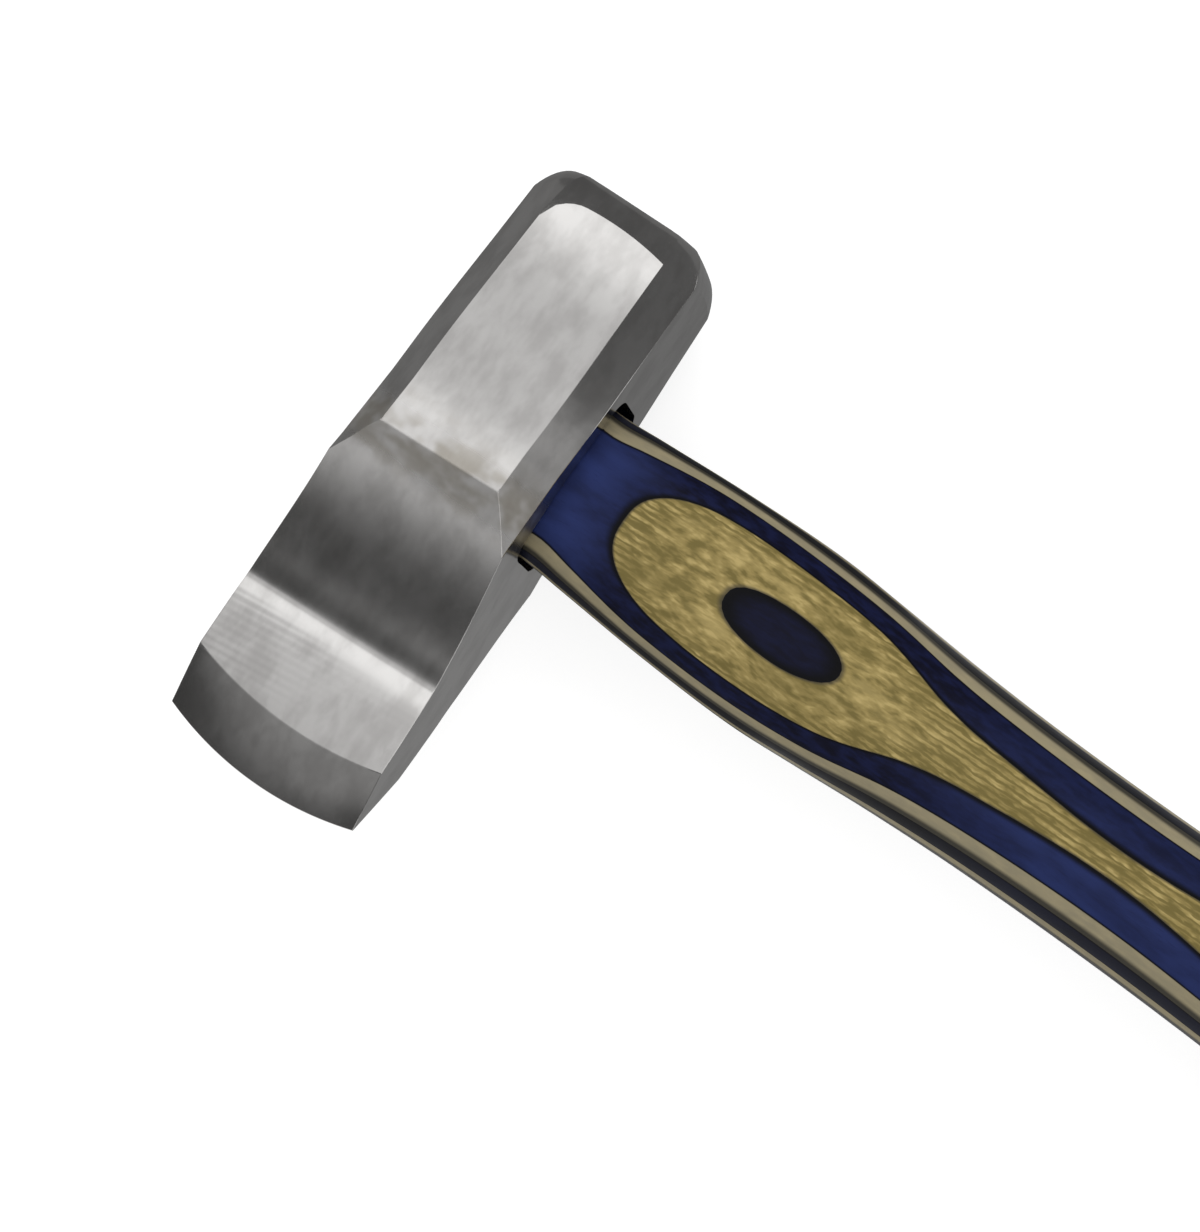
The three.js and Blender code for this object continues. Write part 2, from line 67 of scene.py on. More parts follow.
SAME_PLANE = 0.001 * MM  # and so are planes
CUT_THRESHOLD = 0.0001 * MM
FAR = 1.0  # beyond either end of the tool
ALONG_HANDLE = Vector((1, 0, 0))
ALONG_HEAD = Vector((0, 1, 0))
UP = Vector((0, 0, 1))
log = logging.getLogger("maul")

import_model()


# ---- modelling -------------------------------------------------------------------------------


class Part(Enum):
    """What a selection is made of."""

    VERT = "VERT"
    EDGE = "EDGE"
    FACE = "FACE"


class Join(Enum):
    """How a second solid works on the first."""

    CUT = "DIFFERENCE"
    KEEP_COMMON = "INTERSECT"


def deselect_all() -> None:
    """Leave nothing selected, so that an operator only meets what is picked after this."""
    for item in bpy.context.view_layer.objects:
        item.select_set(False)


def activate(item: bpy.types.Object) -> None:
    """Make one object the only selected and active one.

    Args:
        item: The object to work on.
    """
    deselect_all()
    item.select_set(True)
    bpy.context.view_layer.objects.active = item


@contextmanager
def editing(item: bpy.types.Object, part: Part) -> Iterator[None]:
    """Edit an object's mesh inside a with block, starting with nothing selected.

    Args:
        item: The object whose mesh is edited.
        part: The kind of element that is selected.
    """
    activate(item)
    bpy.ops.object.mode_set(mode="EDIT")
    bpy.ops.mesh.select_mode(type=part.value)
    bpy.ops.mesh.select_all(action="DESELECT")
    yield
    bpy.ops.object.mode_set(mode="OBJECT")


def pick(item: bpy.types.Object, part: Part, wanted: Callable[..., bool]) -> None:
    """Select the elements of a mesh in edit mode that pass a test, and nothing else.

    Args:
        item: The object in edit mode.
        part: The kind of element that is tested, and selected from here on.
        wanted: Takes a bmesh element and says whether it is selected.
    """
    bpy.ops.mesh.select_mode(type=part.value)
    bpy.ops.mesh.select_all(action="DESELECT")
    mesh = bmesh.from_edit_mesh(item.data)
    elements = {Part.VERT: mesh.verts, Part.EDGE: mesh.edges, Part.FACE: mesh.faces}[part]
    for element in elements:
        if wanted(element):
            element.select_set(True)
    bmesh.update_edit_mesh(item.data)


def scale_picked(x: float, y: float, z: float) -> None:
    """Scale what is selected in edit mode about the origin."""
    bpy.ops.transform.resize(value=(x, y, z), center_override=(0, 0, 0))


def move_points(item: bpy.types.Object, move: Callable[[bmesh.types.BMVert], None]) -> None:
    """Move the points of a mesh one by one.

    Args:
        item: The object to reshape.
        move: Takes each point in turn and moves it.
    """
    with editing(item, Part.VERT):
        mesh = bmesh.from_edit_mesh(item.data)
        for vert in mesh.verts:
            move(vert)
        bmesh.update_edit_mesh(item.data)


def slice_off(item: bpy.types.Object, point: Vector, normal: Vector) -> None:
    """Cut off and close all of a mesh that lies beyond a plane.

    Args:
        item: The object to cut.
        point: A point of the plane.
        normal: Points to the side that is cut off.
    """
    with editing(item, Part.FACE):
        bpy.ops.mesh.select_all(action="SELECT")
        bpy.ops.mesh.bisect(
            plane_co=point, plane_no=normal, use_fill=True, clear_outer=True, threshold=CUT_THRESHOLD
        )


def add_rings(item: bpy.types.Object, axis: Vector, places: Sequence[float]) -> None:
    """Add a ring of edges round a mesh at each of several places along an axis.

    Args:
        item: The object to divide.
        axis: The direction that the places are measured in.
        places: Distances from the origin.
    """
    with editing(item, Part.FACE):
        for place in places:
            bpy.ops.mesh.select_all(action="SELECT")
            bpy.ops.mesh.bisect(plane_co=axis * place, plane_no=axis, threshold=CUT_THRESHOLD)


def combine(item: bpy.types.Object, other: bpy.types.Object, join: Join) -> None:
    """Cut one solid by another, or keep what they share. The other one is used up.

    Args:
        item: The solid that is changed.
        other: The solid that works on it.
        join: How it works.
    """
    activate(item)
    modifier = item.modifiers.new("join", "BOOLEAN")
    modifier.operation = join.value
    modifier.solver = "EXACT"
    modifier.object = other
    bpy.ops.object.modifier_apply(modifier=modifier.name)
    remove(other)


def remove(item: bpy.types.Object) -> None:
    """Delete an object and its mesh.

    Args:
        item: The object that is done with.
    """
    mesh = item.data
    bpy.data.objects.remove(item)
    bpy.data.meshes.remove(mesh)


def copy_of(item: bpy.types.Object, name: str) -> bpy.types.Object:
    """Copy an object with a mesh of its own.

    Args:
        item: The object to copy.
        name: The copy's name.

    Returns:
        The copy, linked to the scene.
    """
    twin = item.copy()
    twin.data = item.data.copy()
    twin.name = name
    bpy.context.scene.collection.objects.link(twin)
    return twin


def add_primitive(add: Callable[..., object], name: str, **settings: object) -> bpy.types.Object:
    """Add a primitive with nothing else selected.

    Args:
        add: The operator that adds it.
        name: The primitive's name.
        **settings: The operator's settings.

    Returns:
        The primitive.
    """
    deselect_all()
    add(**settings)
    item = bpy.context.object
    item.name = name
    return item


def settle(item: bpy.types.Object) -> None:
    """Put an object's place, turn and scale into its mesh."""
    activate(item)
    bpy.ops.object.transform_apply(location=True, rotation=True, scale=True)


def add_box(name: str, low: Vector, high: Vector) -> bpy.types.Object:
    """Add a box between two corners.

    Args:
        name: The box's name.
        low: Its lowest corner.
        high: Its highest corner.

    Returns:
        The box, with its place in its mesh.
    """
    box = add_primitive(bpy.ops.mesh.primitive_cube_add, name, size=1, location=(low + high) / 2)
    box.scale = high - low
    settle(box)
    return box


def soften_edges(item: bpy.types.Object, width: float, angle: float) -> None:
    """Round every edge that is sharper than an angle, and shade the result smoothly.

    Args:
        item: The solid to finish.
        width: Width of the rounding on each side of an edge.
        angle: Edges that turn by more than this are rounded, in radians.
    """
    activate(item)
    bevel = item.modifiers.new("soft edges", "BEVEL")
    bevel.width = width
    bevel.segments = 2
    bevel.limit_method = "ANGLE"
    bevel.angle_limit = angle
    bevel.use_clamp_overlap = False
    bevel.miter_outer = "MITER_ARC"
    bpy.ops.object.modifier_apply(modifier=bevel.name)
    bpy.ops.object.shade_smooth_by_angle(angle=angle)
    weighted = item.modifiers.new("even shading", "WEIGHTED_NORMAL")
    weighted.keep_sharp = True
    bpy.ops.object.modifier_apply(modifier=weighted.name)


# ---- shader building -------------------------------------------------------------------------


Socket = bpy.types.NodeSocket
Value = float | tuple[float, ...] | Socket
Colour = tuple[float, float, float, float]
WHITE: Colour = (1, 1, 1, 1)
Span = tuple[float, ...]  # a ramp's start and end, and what it maps them to unless that is 0 and 1


@dataclass(frozen=True)
class Noise:
    """A fractal noise: how fast it changes along each axis, and how its finer waves lie on it.

    The shift moves it, so that two of a kind differ.
    """

    waves: tuple[float, float, float]
    detail: float
    roughness: float = 0.5
    shift: tuple[float, float, float] = (0, 0, 0)


class Nodes:
    """A node tree with short ways to add and join its nodes."""

    def __init__(self, tree: bpy.types.NodeTree) -> None:
        """Start with an empty tree."""
        self.tree = tree
        self.tree.nodes.clear()

    def add(
        self, kind: str, inputs: dict[str | int, Value] | None = None, **settings: object
    ) -> bpy.types.Node:
        """Add a node.

        Args:
            kind: The node's type.
            inputs: Values or sockets for its inputs, by name or place.
            **settings: Properties of the node.

        Returns:
            The node.
        """
        node = self.tree.nodes.new(kind)
        for name, value in settings.items():
            setattr(node, name, value)
        self.feed(node, inputs or {})
        return node

    def feed(self, node: bpy.types.Node, inputs: dict[str | int, Value]) -> None:
        """Give a node's inputs their values, or join sockets to them.

        Args:
            node: The node.
            inputs: Numbers, colours, vectors or output sockets, by the input's name or place.
        """
        for name, value in inputs.items():
            if isinstance(value, Socket):
                self.tree.links.new(value, node.inputs[name])
            else:
                node.inputs[name].default_value = value

    def math(self, operation: str, a: Value, b: Value = 0.0, clamp: bool = False) -> Socket:
        """Work out one number from two, and return its socket."""
        return self.add("ShaderNodeMath", {0: a, 1: b}, operation=operation, use_clamp=clamp).outputs[0]

    def product(self, a: Value, b: Value, clamp: bool = False) -> Socket:
        """Multiply two numbers, and return the result's socket."""
        return self.math("MULTIPLY", a, b, clamp)

    def total(self, a: Value, b: Value) -> Socket:
        """Add two numbers, and return the result's socket."""
        return self.math("ADD", a, b)

    def apart(self, a: Value, b: Value) -> Socket:
        """Return the socket of how far apart two numbers are."""
        return self.math("ABSOLUTE", self.math("SUBTRACT", a, b))

    def ramp(
        self, value: Value, low: float, high: float, to_low: float = 0.0, to_high: float = 1.0
    ) -> Socket:
        """Map a number smoothly from one span to another, and return its socket."""
        inputs = {"Value": value, "From Min": low, "From Max": high, "To Min": to_low, "To Max": to_high}
        return self.add("ShaderNodeMapRange", inputs, interpolation_type="SMOOTHSTEP").outputs["Result"]

    def noise(self, place: Value, kind: Noise) -> Socket:
        """Add fractal noise.

        Args:
            place: Where the noise is read.
            kind: The kind of noise.

        Returns:
            The socket of its value, from 0 to 1.
        """
        moved = self.add("ShaderNodeMapping", {"Vector": place, "Location": kind.shift}).outputs[0]
        scaled = self.add("ShaderNodeVectorMath", {0: moved, 1: kind.waves}, operation="MULTIPLY").outputs[0]
        texture = self.add("ShaderNodeTexNoise", {"Vector": scaled, "Scale": 1.0})
        self.feed(texture, {"Detail": kind.detail, "Roughness": kind.roughness})
        return texture.outputs[0]

    def layers(self, base: Value, *coats: tuple[Value, Value]) -> Socket:
        """Lay colours over a base one after the other.

        Args:
            base: The lowest colour.
            *coats: For each coat a mask, from 0 to 1, and a colour.

        Returns:
            The socket of the finished colour.
        """
        for mask, colour in coats:
            base = self.add("ShaderNodeMix", {0: mask, 6: base, 7: colour}, data_type="RGBA").outputs[2]
        return base

    def bump(self, height: Value, strength: float, distance: float) -> Socket:
        """Turn a height into a normal, and return its socket."""
        inputs = {"Height": height, "Strength": strength, "Distance": distance}
        return self.add("ShaderNodeBump", inputs).outputs[0]

    def split(self, vector: Value) -> tuple[Socket, ...]:
        """Return the sockets of a vector's X, Y and Z."""
        return tuple(self.add("ShaderNodeSeparateXYZ", {0: vector}).outputs)

    def object_millimetres(self) -> Socket:
        """Return the socket of the object's own coordinates in millimetres."""
        place = self.add("ShaderNodeTexCoord").outputs["Object"]
        return self.add("ShaderNodeVectorMath", {0: place, "Scale": 1 / MM}, operation="SCALE").outputs[0]

    def looked_at(self) -> Socket:
        """Tell the camera and reflections from the light that falls on things.

        Returns:
            The socket of a mask that is 1 for the first two.
        """
        path = self.add("ShaderNodeLightPath").outputs
        seen = self.math("MAXIMUM", path["Is Camera Ray"], path["Is Glossy Ray"])
        return self.math("MAXIMUM", seen, path["Is Transmission Ray"])


def effect_group(
    name: str, inputs: dict[str, float], outputs: Sequence[str]
) -> tuple[bpy.types.NodeTree, Nodes, bpy.types.Node, bpy.types.Node]:
    """Start a node group for an effect that several finishes share.

    Args:
        name: The group's name.
        inputs: Number inputs with their defaults. A Vector input is always added first.
        outputs: Names of its number outputs.

    Returns:
        The group, its builder, and its input and output nodes.
    """
    tree = bpy.data.node_groups.new(name, "ShaderNodeTree")
    nodes = Nodes(tree)
    tree.interface.new_socket("Vector", in_out="INPUT", socket_type="NodeSocketVector")
    for label, default in inputs.items():
        socket = tree.interface.new_socket(label, in_out="INPUT", socket_type="NodeSocketFloat")
        socket.default_value = default
    for label in outputs:
        tree.interface.new_socket(label, in_out="OUTPUT", socket_type="NodeSocketFloat")
    return tree, nodes, nodes.add("NodeGroupInput"), nodes.add("NodeGroupOutput")


def blank_material(name: str) -> tuple[bpy.types.Material, Nodes]:
    """Start a material with an empty node tree.

    Args:
        name: The material's name.

    Returns:
        The material and its builder.
    """
    material = bpy.data.materials.new(name)
    material.use_nodes = True
    return material, Nodes(material.node_tree)


def shaded_material(name: str) -> tuple[bpy.types.Material, Nodes, bpy.types.Node]:
    """Start a material with a Principled shader joined to its output.

    Args:
        name: The material's name.

    Returns:
        The material, its builder and its Principled node.
    """
    material, nodes = blank_material(name)
    shader = nodes.add("ShaderNodeBsdfPrincipled")
    nodes.add("ShaderNodeOutputMaterial", {0: shader.outputs[0]})
    return material, nodes, shader


# ---- shared measures -------------------------------------------------------------------------


def through(stations: Sequence[Sequence[float]], place: float) -> tuple[float, ...]:
    """Follow a smooth curve through stations.

    Args:
        stations: Rows that start with a place and go on with the values there.
        place: Where to read the curve.

    Returns:
        The values at that place, held at the end stations' values outside them.
    """
    places = [row[0] for row in stations]
    last = len(places) - 1
    place = min(max(place, places[0]), places[last])
    i = max(1, min(last, next((k for k, start in enumerate(places) if start >= place), last)))
    start, end = places[i - 1], places[i]
    before = i - 2 if i > 1 else i
    after = i + 1 if i < last else i - 1
    start_gap = (start - places[before]) if i > 1 else end - start
    end_gap = (places[after] - end) if i < last else end - start
    half = (end - start) / 2
    lead, trail = half / start_gap, half / end_gap
    p = (place - start) / (end - start)
    weights = (
        (before, -lead * p**3 + 2 * lead * p**2 - lead * p),
        (i - 1, (1 + lead) * p**3 - (1.5 + 2 * lead) * p**2 + (lead - 0.5) * p + 1),
        (i, -(1 + trail) * p**3 + (1.5 + trail) * p**2 + 0.5 * p),
        (after, trail * p**3 - trail * p**2),
    )
    return tuple(
        sum(weight * stations[k][column] for k, weight in weights)
        for column in range(1, len(stations[0]))
    )


@dataclass
class Head:
    """The ground steel head. Reaches run along Y from the middle of the eye.

    The crease is where a cheek ends and its scallop starts, and the foot is where the scallop
    runs out into the blade's flat, with a faint hollow. Cutters overrun the steel by past. The
    grinding's step and the crease's run keep the rings of the grinding cutter away from the
    crease's ends on the chamfers, where the weld would draw such a ring out into a visible line.
    """

    poll_reach: float = 42.2 * MM
    shoulder_reach: float = 9.1 * MM
    root_reach: float = 40.3 * MM
    bevel_reach: float = 57 * MM
    edge_reach: float = 67.8 * MM
    edge_width: float = 36.5 * MM
    root_width: float = 35.9 * MM
    eye_width: float = 32.1 * MM
    poll_width: float = 31.2 * MM
    shoulder_thickness: float = 39.4 * MM
    poll_thickness: float = 28 * MM
    root_thickness: float = 15.4 * MM
    bevel_thickness: float = 11.8 * MM
    edge_land: float = 0.5 * MM
    chamfer: float = 5.2 * MM
    scallop_radius: float = 95 * MM
    edge_radius: float = 58 * MM
    bevel_radius: float = 66 * MM
    border_reach: float = 5.8 * MM
    border_inset: float = 4.8 * MM
    border_lean: float = math.radians(30)
    crown: float = 1 * MM
    arch: float = 1.1 * MM
    worn_corner: float = 4.6 * MM
    worn_spread: float = 5.5 * MM
    eye_length: float = 30.2 * MM
    eye_height: float = 16.4 * MM
    eye_corner: float = 3.6 * MM
    eye_flare: float = 0.4 * MM
    edge_softness: float = 0.09 * MM
    sharp_angle: float = math.radians(11)
    crease_blend: float = 0.3 * MM
    crease_run: float = 0.58 * MM
    grinding_skew: float = math.tan(math.radians(2.5))
    grinding_step: float = 0.307 * MM
    foot_blend: float = 0.04 * MM
    foot_run: float = 5 * MM
    hollow_reach: float = 39.9 * MM
    hollow_spread: float = 2.4 * MM
    hollow_depth: float = 0.11 * MM
    past: float = 4 * MM
    weld: float = 0.02 * MM
    body_rings: int = 36
    border_rings: int = 10
    dome_rings: int = 4
    flat_points: int = 18
    bevel_rings: int = 72
    edge_points: int = 1024
    eye_corner_facets: int = 7

    def __post_init__(self) -> None:
        """Work out the slopes of the cheeks and flats, the scallop's centre and the cutters' ends."""
        self.border = self.poll_reach - self.border_reach
        fall = (self.shoulder_thickness - self.poll_thickness) / 2
        self.cheek_taper = fall / (self.shoulder_reach + self.poll_reach)
        fall = (self.root_thickness - self.bevel_thickness) / 2
        self.flat_taper = fall / (self.bevel_reach - self.root_reach)
        top = Vector((-self.shoulder_reach, self.shoulder_thickness / 2))
        root = Vector((-self.root_reach, self.root_thickness / 2))
        chord = root - top
        rise = math.sqrt(self.scallop_radius**2 - chord.length_squared / 4)
        self.scallop_centre = (top + root) / 2 + Vector((chord.y, -chord.x)).normalized() * rise
        self.waste_end = -self.edge_reach - 2 * self.past
        self.waste_top = 2 * self.shoulder_thickness

    def cheek_height(self, y: float) -> float:
        """Return the height of the upper cheek over the middle plane at a place along Y."""
        return self.shoulder_thickness / 2 - self.cheek_taper * (y + self.shoulder_reach)

    def flat_height(self, y: float) -> float:
        """Return the height of the blade's upper flat over the middle plane at a place along Y."""
        return self.root_thickness / 2 + self.flat_taper * (y + self.root_reach)

    def half_width(self, y: float) -> float:
        """Work out half the head's width.

        Args:
            y: The place along Y.

        Returns:
            Half the width there.
        """
        plan = (
            (-self.edge_reach - self.past, self.edge_width / 2),
            (-self.bevel_reach, self.edge_width / 2),
            (-self.root_reach, self.root_width / 2),
            (-self.shoulder_reach, self.eye_width / 2),
            (self.shoulder_reach, self.eye_width / 2),
            (self.border, self.poll_width / 2),
        )
        return through(plan, y)[0]

    def build(self) -> bpy.types.Object:
        """Model the head.

        Returns:
            The finished head, about the middle plane.
        """
        head = self.body()
        rings = self.draw_in_border(head)
        self.wear_poll(head, rings)
        self.dome_poll(head, rings[-1][0])
        combine(head, self.edge_disc(), Join.KEEP_COMMON)
        for side in (1, -1):
            for cutter in (self.grinding_cutter(side), self.bevel_cutter(side)):
                combine(head, cutter, Join.CUT)
        combine(head, self.eye_cutter(), Join.CUT)
        with editing(head, Part.VERT):
            bpy.ops.mesh.select_all(action="SELECT")
            bpy.ops.mesh.remove_doubles(threshold=self.weld)
            bpy.ops.mesh.dissolve_degenerate(threshold=self.weld)
        soften_edges(head, self.edge_softness, self.sharp_angle)
        return head

    def body(self) -> bpy.types.Object:
        """Model the octagonal bar that the head is ground from, tapering in both directions.

        Returns:
            The bar, from past the edge to where the poll's border starts.
        """
        front = -self.edge_reach - self.past / 2
        wide, high = self.half_width(front), self.cheek_height(front)
        head = add_box("maul_head", Vector((-wide, front, -high)), Vector((wide, self.border, high)))
        span = self.border - 2 * self.border_reach - front
        places = [front + span * step / self.body_rings for step in range(1, self.body_rings + 1)]
        places = [place for place in places if abs(place + self.shoulder_reach) > self.foot_run]
        add_rings(head, ALONG_HEAD, places)
        with editing(head, Part.VERT):
            for place in [*places, self.border]:
                pick(head, Part.VERT, lambda v: abs(v.co.y - place) < SAME_PLACE)
                scale_picked(self.half_width(place) / wide, 1, self.cheek_height(place) / high)
            pick(head, Part.EDGE, self.is_long_edge)
            bpy.ops.mesh.bevel(offset=self.chamfer, offset_type="OFFSET", segments=1, affect="EDGES")
        return head

    @staticmethod
    def is_long_edge(edge: bmesh.types.BMEdge) -> bool:
        """Say whether an edge runs along the head, and not round it."""
        start, end = (vert.co for vert in edge.verts)
        return abs(end.y - start.y) > (end - start).length / 2

    def is_on_border(self, edge: bmesh.types.BMEdge) -> bool:
        """Say whether an edge goes round the head at or past the place where its border starts."""
        start, end = (vert.co.y for vert in edge.verts)
        return start > self.border - SAME_PLACE and abs(start - end) < SAME_PLANE

    def draw_in_border(self, head: bpy.types.Object) -> list[tuple[float, float]]:
        """Draw the end of the bar in over a rounded border, to a flat face.

        Args:
            head: The octagonal bar.

        Returns:
            The border's rings: place along Y, and how far each is drawn in.
        """
        lowest = math.sin(self.border_lean)
        with editing(head, Part.FACE):
            pick(head, Part.FACE, lambda f: all(v.co.y > self.border - SAME_PLACE for v in f.verts))
            inset, along = 0.0, 0.0
            rings = [(self.border, 0.0)]
            for step in range(1, self.border_rings + 1):
                lean = self.border_lean + (math.pi / 2 - self.border_lean) * step / self.border_rings
                next_along = (math.sin(lean) - lowest) / (1 - lowest) * (self.border_reach - self.crown)
                next_inset = self.border_inset * (1 - math.cos(lean) / math.cos(self.border_lean))
                bpy.ops.mesh.inset(thickness=next_inset - inset, depth=next_along - along)
                inset, along = next_inset, next_along
                rings.append((self.border + along, inset))
            pick(head, Part.EDGE, self.is_on_border)
            bpy.ops.mesh.subdivide(number_cuts=self.flat_points - 1)
        return rings

    def wear_poll(self, head: bpy.types.Object, rings: Sequence[tuple[float, float]]) -> None:
        """Bend the border back at the ends of each flat, and further at the one worn corner.

        Args:
            head: The bar with its border drawn in.
            rings: The border's rings: place along Y, and how far each is drawn in.
        """
        first, last = rings[0][0], rings[-1][0]
        wide, high = self.half_width(first), self.cheek_height(first)
        corner = Vector((self.chamfer - wide, high))

        def wear(vert: bmesh.types.BMVert) -> None:
            """Bend one point back, if it is on the border, and out to the bar's wider section there.

            Args:
                vert: The point.
            """
            if not first - SAME_PLACE < vert.co.y < last - SAME_PLACE:
                return
            inset = min(rings, key=lambda ring: abs(ring[0] - vert.co.y))[1]
            share = (vert.co.y - first) / (last - first)
            near = max(0.0, 1 - (Vector((vert.co.x, vert.co.z)) - corner).length / self.worn_spread)
            worn = self.worn_corner * (1 - math.sqrt(1 - near**2))
            back = (self.arch * self.off_centre(vert.co, inset) ** 2 + worn) * (1 - share)
            wider = self.half_width(first - back) - wide
            higher = self.cheek_height(first - back) - high
            vert.co.y -= back
            vert.co.x += math.copysign(wider * min(1, abs(vert.co.x) / (wide - self.chamfer)), vert.co.x)
            vert.co.z += math.copysign(higher * min(1, abs(vert.co.z) / (high - self.chamfer)), vert.co.z)

        move_points(head, wear)

    def dome_poll(self, head: bpy.types.Object, start: float) -> None:
        """Raise the poll's flat face to a slight dome.

        Args:
            head: The bar with its border.
            start: Place of the flat face along Y.
        """
        with editing(head, Part.FACE):
            pick(head, Part.FACE, lambda f: all(v.co.y > start - SAME_PLACE for v in f.verts))
            risen = 0.0
            for left in range(self.dome_rings - 1, 0, -1):
                rise = self.crown * (1 - (left / self.dome_rings) ** 2)
                bpy.ops.mesh.extrude_region_move(TRANSFORM_OT_translate={"value": (0, rise - risen, 0)})
                scale_picked(left / (left + 1), 1, left / (left + 1))
                risen = rise

    def edge_disc(self) -> bpy.types.Object:
        """Model the disc that gives the edge its arc.

        Returns:
            The disc, past the poll and above and below the cheeks.
        """
        return add_primitive(
            bpy.ops.mesh.primitive_cylinder_add,
            "edge_disc",
            vertices=self.edge_points,
            radius=self.edge_radius,
            depth=2 * self.waste_top,
            location=(0, self.edge_radius - self.edge_reach, 0),
        )

    def off_centre(self, point: Vector, inset: float) -> float:
        """Say how far along its side of the octagon a point of the border is.

        Args:
            point: The point.
            inset: How far its ring is drawn in.

        Returns:
            0 in the middle of a side, and 1 at its end.
        """
        wide, high = self.half_width(self.border), self.cheek_height(self.border)
        corner_share = math.tan(math.pi / 8)
        shorter = self.chamfer + inset * corner_share
        across, up = abs(point.x), abs(point.z)
        if up > high - inset - SAME_PLACE:
            return across / (wide - shorter)
        if across > wide - inset - SAME_PLACE:
            return up / (high - shorter)
        half = self.chamfer - inset * (1 - corner_share)
        return abs((across - wide) - (up - high)) / max(half, MM)

    def ground_height(self, y: float, shift: float) -> float:
        """Work out the height that grinding the scallop and the flat leaves.

        Args:
            y: The place along Y, as if the head were ground square.
            shift: How far the slightly skewed grinding moves that place along Y.

        Returns:
            The height over the middle plane.
        """
        hollow = self.hollow_depth * math.exp(-(((y + self.hollow_reach) / self.hollow_spread) ** 2))
        flat = self.flat_height(y) - hollow
        if y < -self.root_reach - self.foot_run / 2:
            return flat
        centre = self.scallop_centre
        drum = centre.y - math.sqrt(self.scallop_radius**2 - (y - centre.x) ** 2) - hollow
        foot = -self.softer(-drum, -flat, self.foot_blend)
        return self.softer(self.cheek_height(y + shift), foot, self.crease_blend)

    @staticmethod
    def softer(first: float, second: float, blend: float) -> float:
        """Return the lower of two heights, led over from one to the other where they are close."""
        share = max(blend - abs(first - second), 0) / blend
        return min(first, second) - blend * share**2 / 4

    def grinding_cutter(self, side: int) -> bpy.types.Object:
        """Model the waste over one side of the blade, from the cheek to past the edge.

        Args:
            side: 1 for the upper side, -1 for the lower.

        Returns:
            The waste, across the head.
        """
        near, half = self.crease_run - self.shoulder_reach, self.edge_width
        low, high = Vector((-half, self.waste_end, 0)), Vector((half, near, self.waste_top))
        cutter = add_box("grinding_waste", low, high)
        start = -self.root_reach - self.foot_run
        count = math.ceil((near - start) / self.grinding_step)
        add_rings(cutter, ALONG_HEAD, [start + (near - start) * step / count for step in range(count)])

        def grind(vert: bmesh.types.BMVert) -> None:
            """Lower a point of the underside to the ground surface, and skew the cutter.

            Args:
                vert: The point.
            """
            shift = self.grinding_skew * vert.co.x
            if vert.co.z < self.waste_top / 2:
                vert.co.z = self.ground_height(vert.co.y, shift)
            vert.co.y += shift

        move_points(cutter, grind)
        return self.faced(cutter, side)

    def bevel_cutter(self, side: int) -> bpy.types.Object:
        """Model the waste over one bevel, ruled between the edge's arc and the arc at its top.

        Args:
            side: 1 for the upper side, -1 for the lower.

        Returns:
            The waste, across the head.
        """
        half = self.edge_width / 2 + self.past
        low, high = Vector((-half, self.waste_end, 0)), Vector((half, 0, self.waste_top))
        cutter = add_box("bevel_waste", low, high)
        rings = range(1, self.bevel_rings)
        add_rings(cutter, ALONG_HANDLE, [half * (2 * step / self.bevel_rings - 1) for step in rings])

        def rule(vert: bmesh.types.BMVert) -> None:
            """Move a point to the line that is ruled over its place across the head.

            Args:
                vert: The point.
            """
            edge = self.arc(self.edge_reach, self.edge_radius, vert.co.x)
            ridge = self.arc(self.bevel_reach, self.bevel_radius, vert.co.x)
            slope = (self.flat_height(ridge) - self.edge_land / 2) / (ridge - edge)
            vert.co.y = ridge + self.past if vert.co.y > self.waste_end / 2 else edge - self.past
            if vert.co.z < self.waste_top / 2:
                vert.co.z = self.edge_land / 2 + slope * (vert.co.y - edge)

        move_points(cutter, rule)
        return self.faced(cutter, side)

    @staticmethod
    def arc(reach: float, radius: float, x: float) -> float:
        """Return the place along Y of an arc across the head that bulges towards the edge."""
        return radius - reach - math.sqrt(radius**2 - x**2)

    @staticmethod
    def faced(cutter: bpy.types.Object, side: int) -> bpy.types.Object:
        """Turn a cutter for the upper side over to the side that it is for.

        Args:
            cutter: The cutter.
            side: 1 for the upper side, -1 for the lower.

        Returns:
            The same cutter.
        """
        cutter.rotation_euler = (0, 0 if side > 0 else math.pi, 0)
        settle(cutter)
        return cutter

    def eye_cutter(self) -> bpy.types.Object:
        """Model the plug that leaves the eye, opening a little towards the wedges.

        Returns:
            The plug, along the handle.
        """
        reach = self.eye_width / 2 + self.past
        half = Vector((reach, self.eye_length / 2, self.eye_height / 2))
        plug = add_box("eye_waste", -half, half)
        with editing(plug, Part.EDGE):
            pick(plug, Part.EDGE, lambda e: abs(e.verts[0].co.x - e.verts[1].co.x) > reach)
            bpy.ops.mesh.bevel(
                offset=self.eye_corner, offset_type="OFFSET", segments=self.eye_corner_facets, affect="EDGES"
            )
            pick(plug, Part.VERT, lambda v: v.co.x < 0)
            longer, higher = (1 + 2 * self.eye_flare / size for size in (self.eye_length, self.eye_height))
            scale_picked(1, longer, higher)
        return plug


# ---- handle ----------------------------------------------------------------------------------


@dataclass
class Ply:
    """One veneer of the handle, or one island of it where the form is thick enough."""

    node: str
    level: int
    start: float = -FAR
    end: float = FAR

    @property
    def slot(self) -> str:
        """The material slot: even levels are blue and odd levels tan."""
        return "blue_veneer" if self.level % 2 == 0 else "tan_veneer"


